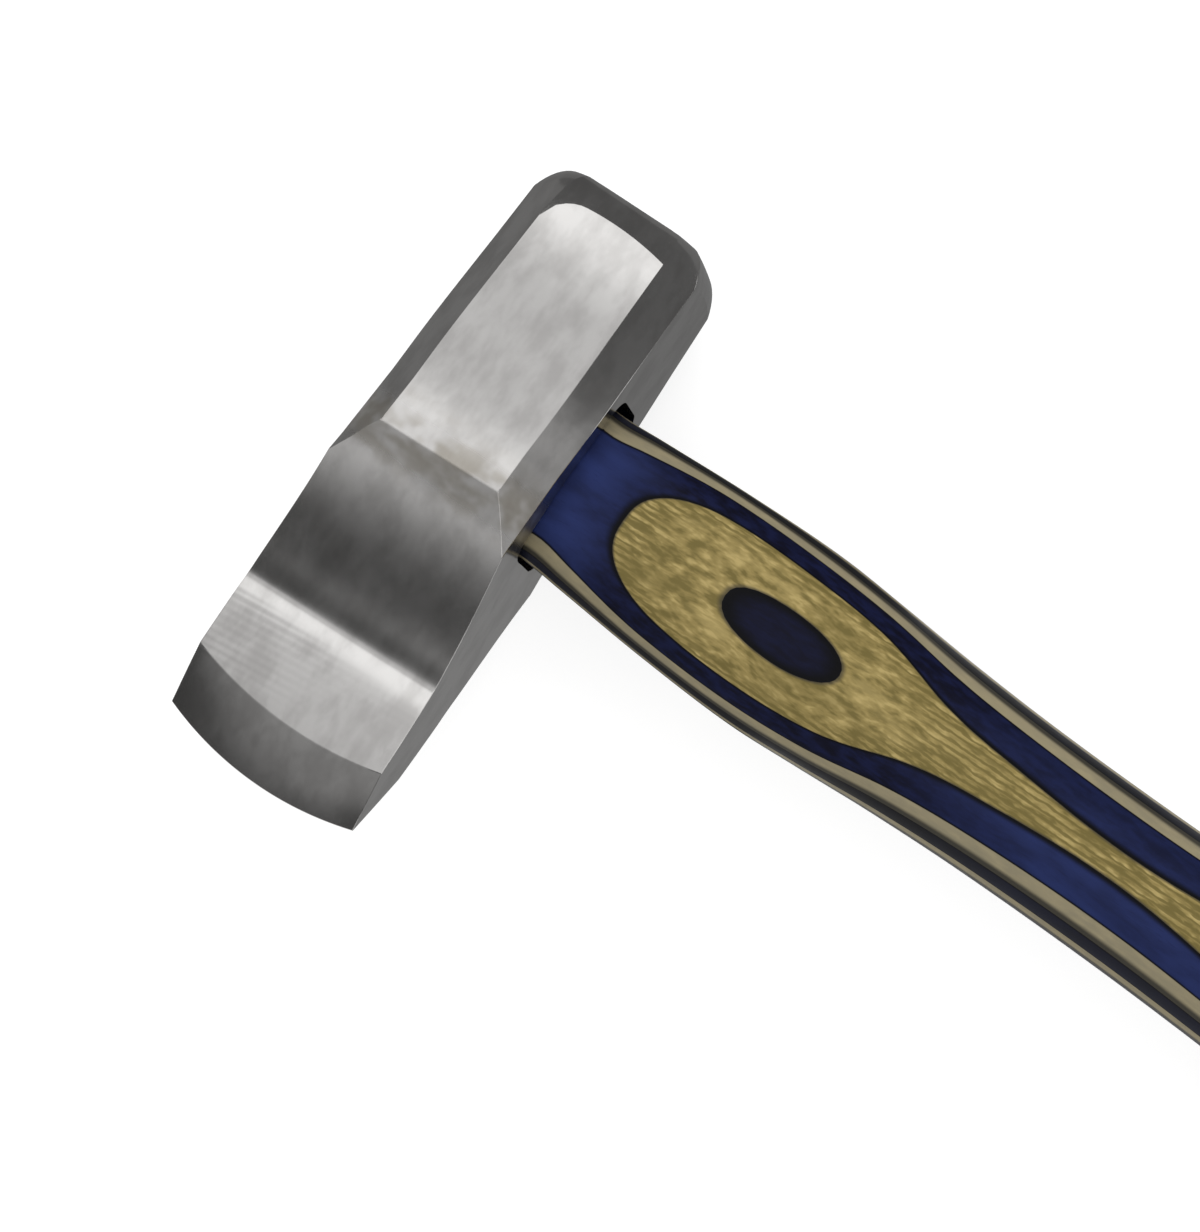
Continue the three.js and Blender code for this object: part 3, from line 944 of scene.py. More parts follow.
@dataclass
class Handle:
    """The laminated handle. Places run along X from the middle of the eye, widths lie along Y.

    The stations are rows of millimetres: the place, the width, the thickness, how far the crest
    of the section leans, and last the section's power, which is 2 for an oval and more for a
    squarer one.
    """

    ply: float = 1.9 * MM
    outer_ply: int = 6
    clearance: float = 0.3 * MM
    reach: float = 325 * MM
    butt_round: float = 4.5 * MM
    tenon_end: float = -17.25 * MM
    waist: float = 116 * MM
    neck: float = 268 * MM
    ring_gap: float = 1.6 * MM
    butt_rings: int = 10
    points: int = 144
    hang: float = math.radians(1.35)
    stations: tuple[tuple[float, ...], ...] = (
        (tenon_end / MM, 30.4, 16.6, 0, 5),
        (0, 29.6, 15.8, 0, 5),
        (16.05, 27.8, 15.8, 0, 2.8),
        (24, 28.75, 16.5, 0, 2.8),
        (40, 30.75, 20, -0.25, 2.5),
        (58, 31.6, 21.46, -0.5, 2.2),
        (70, 30.1, 20.8, -0.25, 2.2),
        (84, 28, 18.4, 0.3, 2.1),
        (100, 26.5, 17.68, 0.68, 2),
        (126, 26, 17.45, 0.9, 1.95),
        (150, 27, 18.4, 0.85, 2),
        (205, 30.4, 22.2, 0.4, 2.2),
        (neck / MM, 28.2, 19.8, 0, 2.2),
        (306, 34.4, 24.4, 0, 2.2),
        (reach / MM, 33, 23.4, 0, 2.2),
    )

    def section(self, x: float) -> tuple[float, float, float, float]:
        """Work out the handle's section, drawn in over the rounded end of the butt.

        Args:
            x: The place along the handle.

        Returns:
            Half the width, half the thickness, the lean of the crest, and the power.
        """
        width, thickness, crest, power = through(self.stations, x / MM)
        past = min(max(x - self.reach + self.butt_round, 0), self.butt_round)
        inset = self.butt_round - math.sqrt(self.butt_round**2 - past**2)
        return width * MM / 2 - inset, thickness * MM / 2 - inset, crest * MM, power

    def places(self) -> list[float]:
        """Place the form's rings, closer together round the end of the butt.

        Returns:
            The places along the handle.
        """
        straight = self.reach - self.butt_round
        count = math.ceil((straight - self.tenon_end) / self.ring_gap)
        even = [self.tenon_end + (straight - self.tenon_end) * i / count for i in range(count + 1)]
        turns = [math.pi / 2 * i / self.butt_rings for i in range(1, self.butt_rings + 1)]
        return even + [straight + self.butt_round * math.sin(turn) for turn in turns]

    def form(self) -> bpy.types.Object:
        """Model the whole handle's form, ring by ring from a circle at the end of the tenon.

        Returns:
            The form, about the middle plane.
        """
        places = self.places()
        form = add_primitive(
            bpy.ops.mesh.primitive_circle_add,
            "handle_form",
            vertices=self.points,
            radius=1,
            fill_type="NGON",
            rotation=(0, math.pi / 2, 0),
        )
        settle(form)
        with editing(form, Part.FACE):
            bpy.ops.mesh.select_all(action="SELECT")
            for _ in places[1:]:
                bpy.ops.mesh.extrude_region_move(TRANSFORM_OT_translate={"value": (1, 0, 0)})
        move_points(form, lambda vert: self.shape(vert, places[round(vert.co.x)]))
        with editing(form, Part.FACE):
            bpy.ops.mesh.select_all(action="SELECT")
            bpy.ops.mesh.normals_make_consistent(inside=False)
        return form

    def shape(self, vert: bmesh.types.BMVert, x: float) -> None:
        """Move a point of the unit circle to the same bearing of the handle's section.

        Args:
            vert: The point.
            x: The place of the section along the handle.
        """
        wide, high, crest, power = self.section(x)
        round_y = math.copysign(abs(vert.co.y) ** (2 / power), vert.co.y)
        round_z = math.copysign(abs(vert.co.z) ** (2 / power), vert.co.z)
        lean = -math.tan(self.hang) * max(0.0, x)
        vert.co = (x, lean + wide * round_y + crest * abs(round_z), high * round_z)

    def cut_ply(self, form: bpy.types.Object, ply: Ply) -> bpy.types.Object:
        """Cut one ply out of a copy of the form, with a flat glue face on each side.

        Args:
            form: The whole handle.
            ply: The ply to cut.

        Returns:
            The ply's solid.
        """
        veneer = copy_of(form, f"maul_{ply.node}")
        low, high = (ply.level - 0.5) * self.ply, (ply.level + 0.5) * self.ply
        slice_off(veneer, UP * low, -UP)
        if abs(ply.level) < self.outer_ply or ply.level < 0:
            slice_off(veneer, UP * high, UP)
        if ply.start > -FAR:
            slice_off(veneer, ALONG_HANDLE * ply.start, -ALONG_HANDLE)
        if ply.end < FAR:
            slice_off(veneer, ALONG_HANDLE * ply.end, ALONG_HANDLE)
        return veneer

    def dress_normals(self, veneer: bpy.types.Object, ply: Ply) -> None:
        """Shade the shaped surface smoothly and keep the glue faces flat.

        Args:
            veneer: The ply's solid.
            ply: The ply.
        """
        glue_planes = [(ply.level + side) * self.ply for side in (-0.5, 0.5)]

        def is_glued(face: bmesh.types.BMFace) -> bool:
            """Say whether a face lies on one of the ply's glue planes."""
            heights = [vert.co.z for vert in face.verts]
            return any(all(abs(z - plane) < SAME_PLANE for z in heights) for plane in glue_planes)

        activate(veneer)
        bpy.ops.object.shade_smooth()
        with editing(veneer, Part.EDGE):
            pick(veneer, Part.EDGE, lambda e: len({is_glued(f) for f in e.link_faces}) > 1)
            bpy.ops.mesh.mark_sharp()


@dataclass
class Wedge:
    """A wedge driven into the end of the tenon, or the kerf that it sits in."""

    node: str
    slot: str
    length: float
    depth: float
    top: float
    tip: float
    sunk: float
    standing: bool = False
    offset: float = 0.0
    kerf_past: float = 4 * MM
    softness: float = 0.12 * MM
    sharp_angle: float = math.radians(30)

    @property
    def half_height(self) -> float:
        """How far the wedge reaches above and below the middle plane."""
        return (self.length if self.standing else self.top) / 2

    def build(self, tenon_end: float, clearance: float = 0.0) -> bpy.types.Object:
        """Model the wedge from a block drawn in towards its tip.

        Args:
            tenon_end: Place of the tenon's end along X.
            clearance: Widening all round, for the kerf, which also runs out past the tenon.

        Returns:
            The wedge or its kerf.
        """
        top_end = tenon_end + self.sunk
        start = top_end - (self.kerf_past if clearance else 0)
        end = top_end + self.depth + clearance
        half = self.length / 2 + clearance
        block = add_box(f"maul_{self.node}", Vector((start, -half, -1)), Vector((end, half, 1)))
        with editing(block, Part.VERT):
            for place in (start, end):
                share = (place - top_end) / self.depth
                high = (self.top + (self.tip - self.top) * share) / 2 + clearance
                pick(block, Part.VERT, lambda v: abs(v.co.x - place) < SAME_PLACE)
                scale_picked(1, 1, high)
        if self.standing:
            block.rotation_euler = (math.pi / 2, 0, 0)
            block.location = (0, self.offset, 0)
            settle(block)
        return block


# ---- finishes --------------------------------------------------------------------------------


def lamination_group(pitch: float) -> bpy.types.NodeTree:
    """Build the effect that finds the glue lines of the laminated handle.

    Args:
        pitch: Thickness of one ply in millimetres.

    Returns:
        A group with the ply's level off the middle, how far up through that ply a point is, and
        the distance to the nearest glue line.
    """
    tree, nodes, given, result = effect_group("lamination", {"Middle": 0.0}, ("Level", "Rise", "Glue Gap"))
    z = nodes.split(given.outputs["Vector"])[2]
    plies_up = nodes.math("DIVIDE", nodes.math("SUBTRACT", z, given.outputs["Middle"]), pitch)
    plies_off = nodes.math("ABSOLUTE", plies_up)
    level = nodes.math("FLOOR", nodes.total(plies_off, 0.5))
    rise = nodes.total(nodes.math("SUBTRACT", plies_off, level), 0.5)
    gap = nodes.product(nodes.math("SUBTRACT", 0.5, nodes.apart(plies_off, level)), pitch)
    nodes.feed(result, {"Level": level, "Rise": rise, "Glue Gap": gap})
    return tree


def grain_group() -> bpy.types.NodeTree:
    """Build the effect of wood grain that runs along X, in millimetres.

    Returns:
        A group with fine fibres, broader streaks and soft clouds. Its seed moves them all.
    """
    tree, nodes, given, result = effect_group("wood grain", {"Seed": 0.0}, ("Fibre", "Streak", "Cloud"))
    seed = given.outputs["Seed"]
    along, across = nodes.product(seed, 37.0), nodes.product(seed, 11.3)
    offset = nodes.add("ShaderNodeCombineXYZ", {0: along, 1: across}).outputs[0]
    inputs = {0: given.outputs["Vector"], 1: offset}
    moved = nodes.add("ShaderNodeVectorMath", inputs, operation="ADD").outputs[0]
    warp = nodes.noise(moved, Noise((0.05, 0.1, 0.1), 2.0))
    sideways = nodes.add("ShaderNodeCombineXYZ", {1: warp, 2: warp}).outputs[0]
    inputs = {0: sideways, 1: (0.0, 3.0, 3.0), 2: moved}
    bent = nodes.add("ShaderNodeVectorMath", inputs, operation="MULTIPLY_ADD").outputs[0]
    grain = {
        "Fibre": nodes.noise(bent, Noise((0.35, 4.5, 4.5), 3.0, 0.6)),
        "Streak": nodes.noise(bent, Noise((0.3, 0.95, 0.95), 2.5, 0.55)),
        "Cloud": nodes.noise(bent, Noise((0.08, 0.25, 0.25), 2.0)),
    }
    nodes.feed(result, grain)
    return tree


@dataclass(frozen=True)
class Woodwork:
    """The shared effects of the wooden finishes, and the height of the middle ply in millimetres."""

    lamination: bpy.types.NodeTree
    grain: bpy.types.NodeTree
    middle: float

    def place_grain(self, nodes: Nodes, place: Socket, seed: Value) -> dict[str, Socket]:
        """Place the grain in a material, moved by a seed, and return its sockets by name."""
        inputs = {"Vector": place, "Seed": seed}
        return dict(nodes.add("ShaderNodeGroup", inputs, node_tree=self.grain).outputs.items())

    def place_plies(self, nodes: Nodes, place: Socket) -> dict[str, Socket]:
        """Place both effects in a veneer's material, so that each ply has its own grain.

        Args:
            nodes: The material's builder.
            place: The coordinates in millimetres.

        Returns:
            Both effects' sockets by name.
        """
        inputs = {"Vector": place, "Middle": self.middle}
        plies = nodes.add("ShaderNodeGroup", inputs, node_tree=self.lamination).outputs
        return dict(plies.items()) | self.place_grain(nodes, place, plies["Level"])


@dataclass(frozen=True)
class Lustre:
    """How a veneer shines, and how strongly its fibres stand out.

    Between its fibres it is smoother than its roughness says, and on them it is rougher.
    """

    roughness: float
    specular: float
    relief: float
    smoother: float = 0.06
    rougher: float = 0.1
    fibre_span: Span = (0.2, 0.8)
    fibre_depth: float = 0.05 * MM

    def apply(self, nodes: Nodes, shader: bpy.types.Node, colour: Socket, fibre: Socket) -> None:
        """Give a veneer's shader its colour, shine and fibres.

        Args:
            nodes: The material's builder.
            shader: Its Principled node.
            colour: The finished colour.
            fibre: The grain's fibres.
        """
        smooth, rough = self.roughness - self.smoother, self.roughness + self.rougher
        looks = {
            "Base Color": colour,
            "Roughness": nodes.ramp(fibre, *self.fibre_span, smooth, rough),
            "Specular IOR Level": self.specular,
            "Normal": nodes.bump(fibre, self.relief, self.fibre_depth),
        }
        nodes.feed(shader, looks)


@dataclass(frozen=True)
class BlueVeneer:
    """Dyed veneer, nearly black in its pores and at its glue lines.

    It has a painted sheen, a lighter blue beside the head and again at the waist, most on the
    edge's side. Places are millimetres along and across the handle, and levels count from the middle.
    """

    deep: Colour = (0.004, 0.0042, 0.014, 1)
    body: Colour = (0.0075, 0.0105, 0.045, 1)
    # the lighter blue of the painted sheen
    light: Colour = (0.022, 0.036, 0.14, 1)
    glue: Colour = (0.0015, 0.0015, 0.0025, 1)
    # painted grey for the steep flank's shade and grazing reflection
    flank_shade_and_sheen: Colour = (0.011, 0.0105, 0.009, 1)
    lustre: Lustre = Lustre(roughness=0.42, specular=0.1, relief=0.12)
    # where the painted sheen lies beside the head, and along and across the handle at the waist
    head_sheen_places: Span = (17, 33, 0.85, 0)
    waist_sheen_places: Span = (80, 112)
    waist_sheen_sides: Span = (6, -8, 0.25, 0.7)
    mottling: Span = (0.3, 0.7, 0.6, 1.2)
    body_streaks: Span = (0.3, 0.7)
    outer_levels: Span = (5, 6, 0, 0.6)
    flank_levels: Span = (3, 2, 0, 0.85)
    pores: Span = (0.55, 0.8, 0, 0.35)
    glue_line: Span = (0.03, 0.2, 1, 0)

    def material(self, woodwork: Woodwork) -> bpy.types.Material:
        """Build the material.

        Args:
            woodwork: The shared effects.

        Returns:
            The material.
        """
        material, nodes, shader = shaded_material("dyed_blue_veneer")
        place = nodes.object_millimetres()
        x, y, _ = nodes.split(place)
        wood = woodwork.place_plies(nodes, place)
        level, fibre = wood["Level"], wood["Fibre"]
        # painted sheen: a lighter blue beside the head and at the waist, mottled by the clouds
        waist_sheen = nodes.product(nodes.ramp(x, *self.waist_sheen_places), nodes.ramp(y, *self.waist_sheen_sides))
        bright = nodes.math("MAXIMUM", nodes.ramp(x, *self.head_sheen_places), waist_sheen)
        mottled_sheen = nodes.product(bright, nodes.ramp(wood["Cloud"], *self.mottling), clamp=True)
        colour = nodes.layers(
            self.deep,
            (nodes.ramp(wood["Streak"], *self.body_streaks), self.body),
            (mottled_sheen, self.light),
            (nodes.ramp(level, *self.outer_levels), self.deep),
            # painted shade and grazing reflection: the plies near the middle turn grey on the flank
            (nodes.ramp(level, *self.flank_levels), self.flank_shade_and_sheen),
            (nodes.ramp(fibre, *self.pores), self.deep),
            (nodes.ramp(wood["Glue Gap"], *self.glue_line), self.glue),
        )
        self.lustre.apply(nodes, shader, colour, fibre)
        return material


@dataclass(frozen=True)
class TanVeneer:
    """Stained hardwood veneer with golden and olive flecks along the grain.

    The plies near the middle show only on the steep flank, painted grey there for its shade and
    grazing reflection. Stripes lie low in a ply, where it runs out thin, and a painted shade darkens
    the flank low in each ply. Levels count from the middle.
    """

    dark: Colour = (0.17, 0.13, 0.032, 1)
    body: Colour = (0.318, 0.24, 0.076, 1)
    light: Colour = (0.49, 0.375, 0.14, 1)
    # painted grey for the steep flank's shade and grazing reflection
    flank_shade_and_sheen: Colour = (0.31, 0.275, 0.19, 1)
    # dark colour for the painted shade low in each flank ply, and for the glue lines
    rim_shade_and_glue: Colour = (0.03, 0.027, 0.02, 1)
    lustre: Lustre = Lustre(roughness=0.5, specular=0.25, relief=0.15)
    dark_streaks: Span = (0.56, 0.34)
    light_streaks: Span = (0.52, 0.7)
    dark_clouds: Span = (0.5, 0.3, 0, 0.45)
    light_clouds: Span = (0.52, 0.72, 0, 0.5)
    pores: Span = (0.55, 0.75, 0, 0.3)
    stripe_rise: Span = (0.15, 0.62, 0.9, 0)
    stripe_waves: Span = (-0.1, 0.7)
    stripe_pitch: float = 1.0
    stripe_sway: float = 1.2
    flank_levels: Span = (5, 3)
    flank_shade_and_sheen_strength: float = 0.8
    rim_shade_rise: Span = (0.2, 0.5, 0.95, 0)
    glue_line: Span = (0.0, 0.06, 0.8, 0)

    def material(self, woodwork: Woodwork) -> bpy.types.Material:
        """Build the material.

        Args:
            woodwork: The shared effects.

        Returns:
            The material.
        """
        material, nodes, shader = shaded_material("stained_tan_veneer")
        place = nodes.object_millimetres()
        wood = woodwork.place_plies(nodes, place)
        rise, fibre, streak, cloud = wood["Rise"], wood["Fibre"], wood["Streak"], wood["Cloud"]
        striped = nodes.product(self.stripes(nodes, place, streak), nodes.ramp(rise, *self.stripe_rise))
        on_flank = nodes.ramp(wood["Level"], *self.flank_levels)
        # painted shade low in each ply on the flank, joined with the real dark glue lines
        shade = nodes.product(on_flank, nodes.ramp(rise, *self.rim_shade_rise))
        edge = nodes.math("MAXIMUM", shade, nodes.ramp(wood["Glue Gap"], *self.glue_line))
        colour = nodes.layers(
            self.body,
            (nodes.ramp(streak, *self.dark_streaks), self.dark),
            (nodes.ramp(streak, *self.light_streaks), self.light),
            (nodes.ramp(cloud, *self.dark_clouds), self.dark),
            (nodes.ramp(cloud, *self.light_clouds), self.light),
            (nodes.ramp(fibre, *self.pores), self.dark),
            (striped, self.dark),
            # painted shade and grazing reflection: the plies near the middle turn grey on the flank
            (nodes.product(on_flank, self.flank_shade_and_sheen_strength), self.flank_shade_and_sheen),
            (edge, self.rim_shade_and_glue),
        )
        self.lustre.apply(nodes, shader, colour, fibre)
        return material

    def stripes(self, nodes: Nodes, place: Socket, streak: Socket) -> Socket:
        """Draw the fine pores that show as stripes where the veneer runs out thin.

        Args:
            nodes: The material's builder.
            place: The coordinates in millimetres.
            streak: The grain's streaks, which make the stripes sway.

        Returns:
            The socket of a mask that is 1 on the stripes.
        """
        across = nodes.total(nodes.split(place)[1], nodes.product(streak, self.stripe_sway))
        wave = nodes.math("SINE", nodes.product(across, 2 * math.pi / self.stripe_pitch))
        return nodes.ramp(wave, *self.stripe_waves)


@dataclass(frozen=True)
class WedgeWood:
    """Plain pale hardwood, end grain and all."""

    body: Colour = (0.52, 0.36, 0.17, 1)
    dark: Colour = (0.33, 0.21, 0.09, 1)
    dark_streaks: Span = (0.35, 0.65)
    roughness: float = 0.7
    relief: float = 0.3
    fibre_depth: float = 0.1 * MM
    seed: float = 9.0

    def material(self, woodwork: Woodwork) -> bpy.types.Material:
        """Build the material.

        Args:
            woodwork: The shared effects.

        Returns:
            The material.
        """
        material, nodes, shader = shaded_material("pale_wedge_wood")
        wood = woodwork.place_grain(nodes, nodes.object_millimetres(), self.seed)
        streaks = nodes.ramp(wood["Streak"], *self.dark_streaks)
        looks = {
            "Base Color": nodes.layers(self.body, (streaks, self.dark)),
            "Roughness": self.roughness,
            "Normal": nodes.bump(wood["Fibre"], self.relief, self.fibre_depth),
        }
        nodes.feed(shader, looks)
        return material


@dataclass(frozen=True)
class GroundSteel:
    """The head's ground steel: clouded cheeks, grinding ripples on the blade, and a faint stain.

    Places and heights are millimetres in the head's own axes. The ripples lie across the blade's
    flats and fade to one side. The steel is matt along the crease, where it is stained.
    """

    body: Colour = (0.575, 0.565, 0.555, 1)
    dull: Colour = (0.47, 0.46, 0.45, 1)
    stain: Colour = (0.27, 0.24, 0.19, 1)
    clouds: Noise = Noise((0.16, 0.16, 0.16), 2.0)
    patches: Noise = Noise((0.25, 0.12, 0.2), 3.0, 0.55, shift=(31, 7, 3))
    spots: Noise = Noise((0.16, 0.24, 0.24), 2.0, shift=(5, 3, 9))
    grain: Noise = Noise((3.0, 0.5, 3.0), 3.0, 0.6)
    body_patches: Span = (0.3, 0.65)
    stain_place: float = -9.5
    stain_spread: Span = (1, 8, 0.6, 0)
    stain_spots: Span = (0.36, 0.62)
    roughness: Span = (0.3, 0.7, 0.14, 0.16)
    matt_spread: Span = (1, 6.5, 0.27, 0)
    cloud_height: Span = (-11.1, -7.1, 0.001875, 0.03)
    grain_height: float = 0.0008
    ripple_height: float = 0.003
    ripple_pitch: float = 1.3
    ripple_slant: float = -0.12
    ripple_side: Span = (-14, 8, 1, 0.08)
    flat_start: Span = (-56, -53)
    flat_end: Span = (-45, -42, 1, 0)

    def material(self) -> bpy.types.Material:
        """Build the material.

        Returns:
            The material.
        """
        material, nodes, shader = shaded_material("ground_steel")
        place = nodes.object_millimetres()
        cloud = nodes.noise(place, self.clouds)
        patch = nodes.ramp(nodes.noise(place, self.patches), *self.body_patches)
        spots = nodes.ramp(nodes.noise(place, self.spots), *self.stain_spots)
        off_stain = nodes.apart(nodes.split(place)[1], self.stain_place)
        stained = nodes.product(nodes.ramp(off_stain, *self.stain_spread), spots)
        matt = nodes.ramp(off_stain, *self.matt_spread)
        looks = {
            "Base Color": nodes.layers(self.dull, (patch, self.body), (stained, self.stain)),
            "Roughness": nodes.total(nodes.ramp(cloud, *self.roughness), matt),
            "Metallic": 1.0,
            "Normal": nodes.bump(self.relief(nodes, place, cloud), 1.0, MM),
        }
        nodes.feed(shader, looks)
        return material

    def relief(self, nodes: Nodes, place: Socket, cloud: Socket) -> Socket:
        """Add up the unevenness of the cheeks, the fine grain, and the ripples on the flats.

        Args:
            nodes: The material's builder.
            place: The coordinates in millimetres.
            cloud: The clouds, which are all but gone from the blade.

        Returns:
            The socket of the height in millimetres.
        """
        x, y, _ = nodes.split(place)
        slant = nodes.total(y, nodes.product(x, self.ripple_slant))
        wave = nodes.math("SINE", nodes.product(slant, 2 * math.pi / self.ripple_pitch))
        on_flat = nodes.product(nodes.ramp(y, *self.flat_start), nodes.ramp(y, *self.flat_end))
        ripple = nodes.product(wave, nodes.product(on_flat, nodes.ramp(x, *self.ripple_side)))
        height = nodes.product(cloud, nodes.ramp(y, *self.cloud_height))
        height = nodes.total(height, nodes.product(nodes.noise(place, self.grain), self.grain_height))
        return nodes.total(height, nodes.product(ripple, self.ripple_height))


@dataclass(frozen=True)
class RolledSteel:
    """Dull rolled steel for the cross wedges."""

    body: Colour = (0.3, 0.3, 0.31, 1)
    dull: Colour = (0.2, 0.19, 0.18, 1)
    scale: Noise = Noise((0.6, 0.6, 0.6), 4.0, 0.6)
    body_scale: Span = (0.35, 0.65)
    roughness: Span = (0.3, 0.7, 0.6, 0.5)
    relief: float = 0.4
    scale_depth: float = 0.05 * MM

    def material(self) -> bpy.types.Material:
        """Build the material.

        Returns:
            The material.
        """
        material, nodes, shader = shaded_material("rolled_steel")
        scale = nodes.noise(nodes.object_millimetres(), self.scale)
        looks = {
            "Base Color": nodes.layers(self.dull, (nodes.ramp(scale, *self.body_scale), self.body)),
            "Roughness": nodes.ramp(scale, *self.roughness),
            "Metallic": 1.0,
            "Normal": nodes.bump(scale, self.relief, self.scale_depth),
        }
        nodes.feed(shader, looks)
        return material


# ---- stage -----------------------------------------------------------------------------------


Tones = tuple[tuple[float, float], ...]


def even(low: float, high: float, tone: float) -> Tones:
    """Return the tones of a card that is equally bright from its lower to its upper end."""
    return ((low, tone), (high, tone))


@dataclass(frozen=True)
class Card:
    """A card that only reflections show: dark parts are flags, bright parts softboxes.

    It stands off from a spot on the steel, in the direction that the spot's reflection takes. Its
    tones are pairs of a distance up the card from its middle and a brightness, 1 being white.
    """

    name: str
    spot: tuple[float, float, float]
    toward: tuple[float, float, float]
    distance: float
    width: float
    tones: Tones

    def build(self) -> None:
        """Hang the card, facing its spot."""
        low, high = self.tones[0][0], self.tones[-1][0]
        away = Vector(self.toward).normalized()
        faces_along_handle = abs(away.x) > 0.8
        side = ALONG_HEAD if faces_along_handle else ALONG_HANDLE
        side = (side - away * side.dot(away)).normalized()
        rise = away.cross(side)
        middle = Vector(self.spot) + away * self.distance + rise * (low + high) / 2
        turn = Matrix((side, rise, -away)).transposed().to_4x4()
        card = add_primitive(bpy.ops.mesh.primitive_plane_add, self.name, size=1)
        size = Matrix.Diagonal((self.width, high - low, 1, 1))
        card.matrix_world = Matrix.Translation(middle) @ turn @ size
        card.data.materials.append(self.material())
        card.visible_camera = False
        card.visible_diffuse = False
        card.visible_shadow = False
        card.visible_transmission = False

    def material(self) -> bpy.types.Material:
        """Build the card's tones as a glow that changes up the card.

        Returns:
            The material.
        """
        low, high = self.tones[0][0], self.tones[-1][0]
        material, nodes = blank_material(self.name)
        up = nodes.split(nodes.add("ShaderNodeTexCoord").outputs["Object"])[1]
        tone: Value = self.tones[0][1]
        for (start, _), (end, bright) in zip(self.tones, self.tones[1:]):
            share = [(place - low) / (high - low) - 0.5 for place in (start, end)]
            inputs = {0: nodes.ramp(up, *share), 2: tone, 3: bright}
            tone = nodes.add("ShaderNodeMix", inputs, data_type="FLOAT").outputs[0]
        glow = nodes.add("ShaderNodeEmission", {"Color": WHITE, "Strength": tone})
        nodes.add("ShaderNodeOutputMaterial", {0: glow.outputs[0]})
        return material


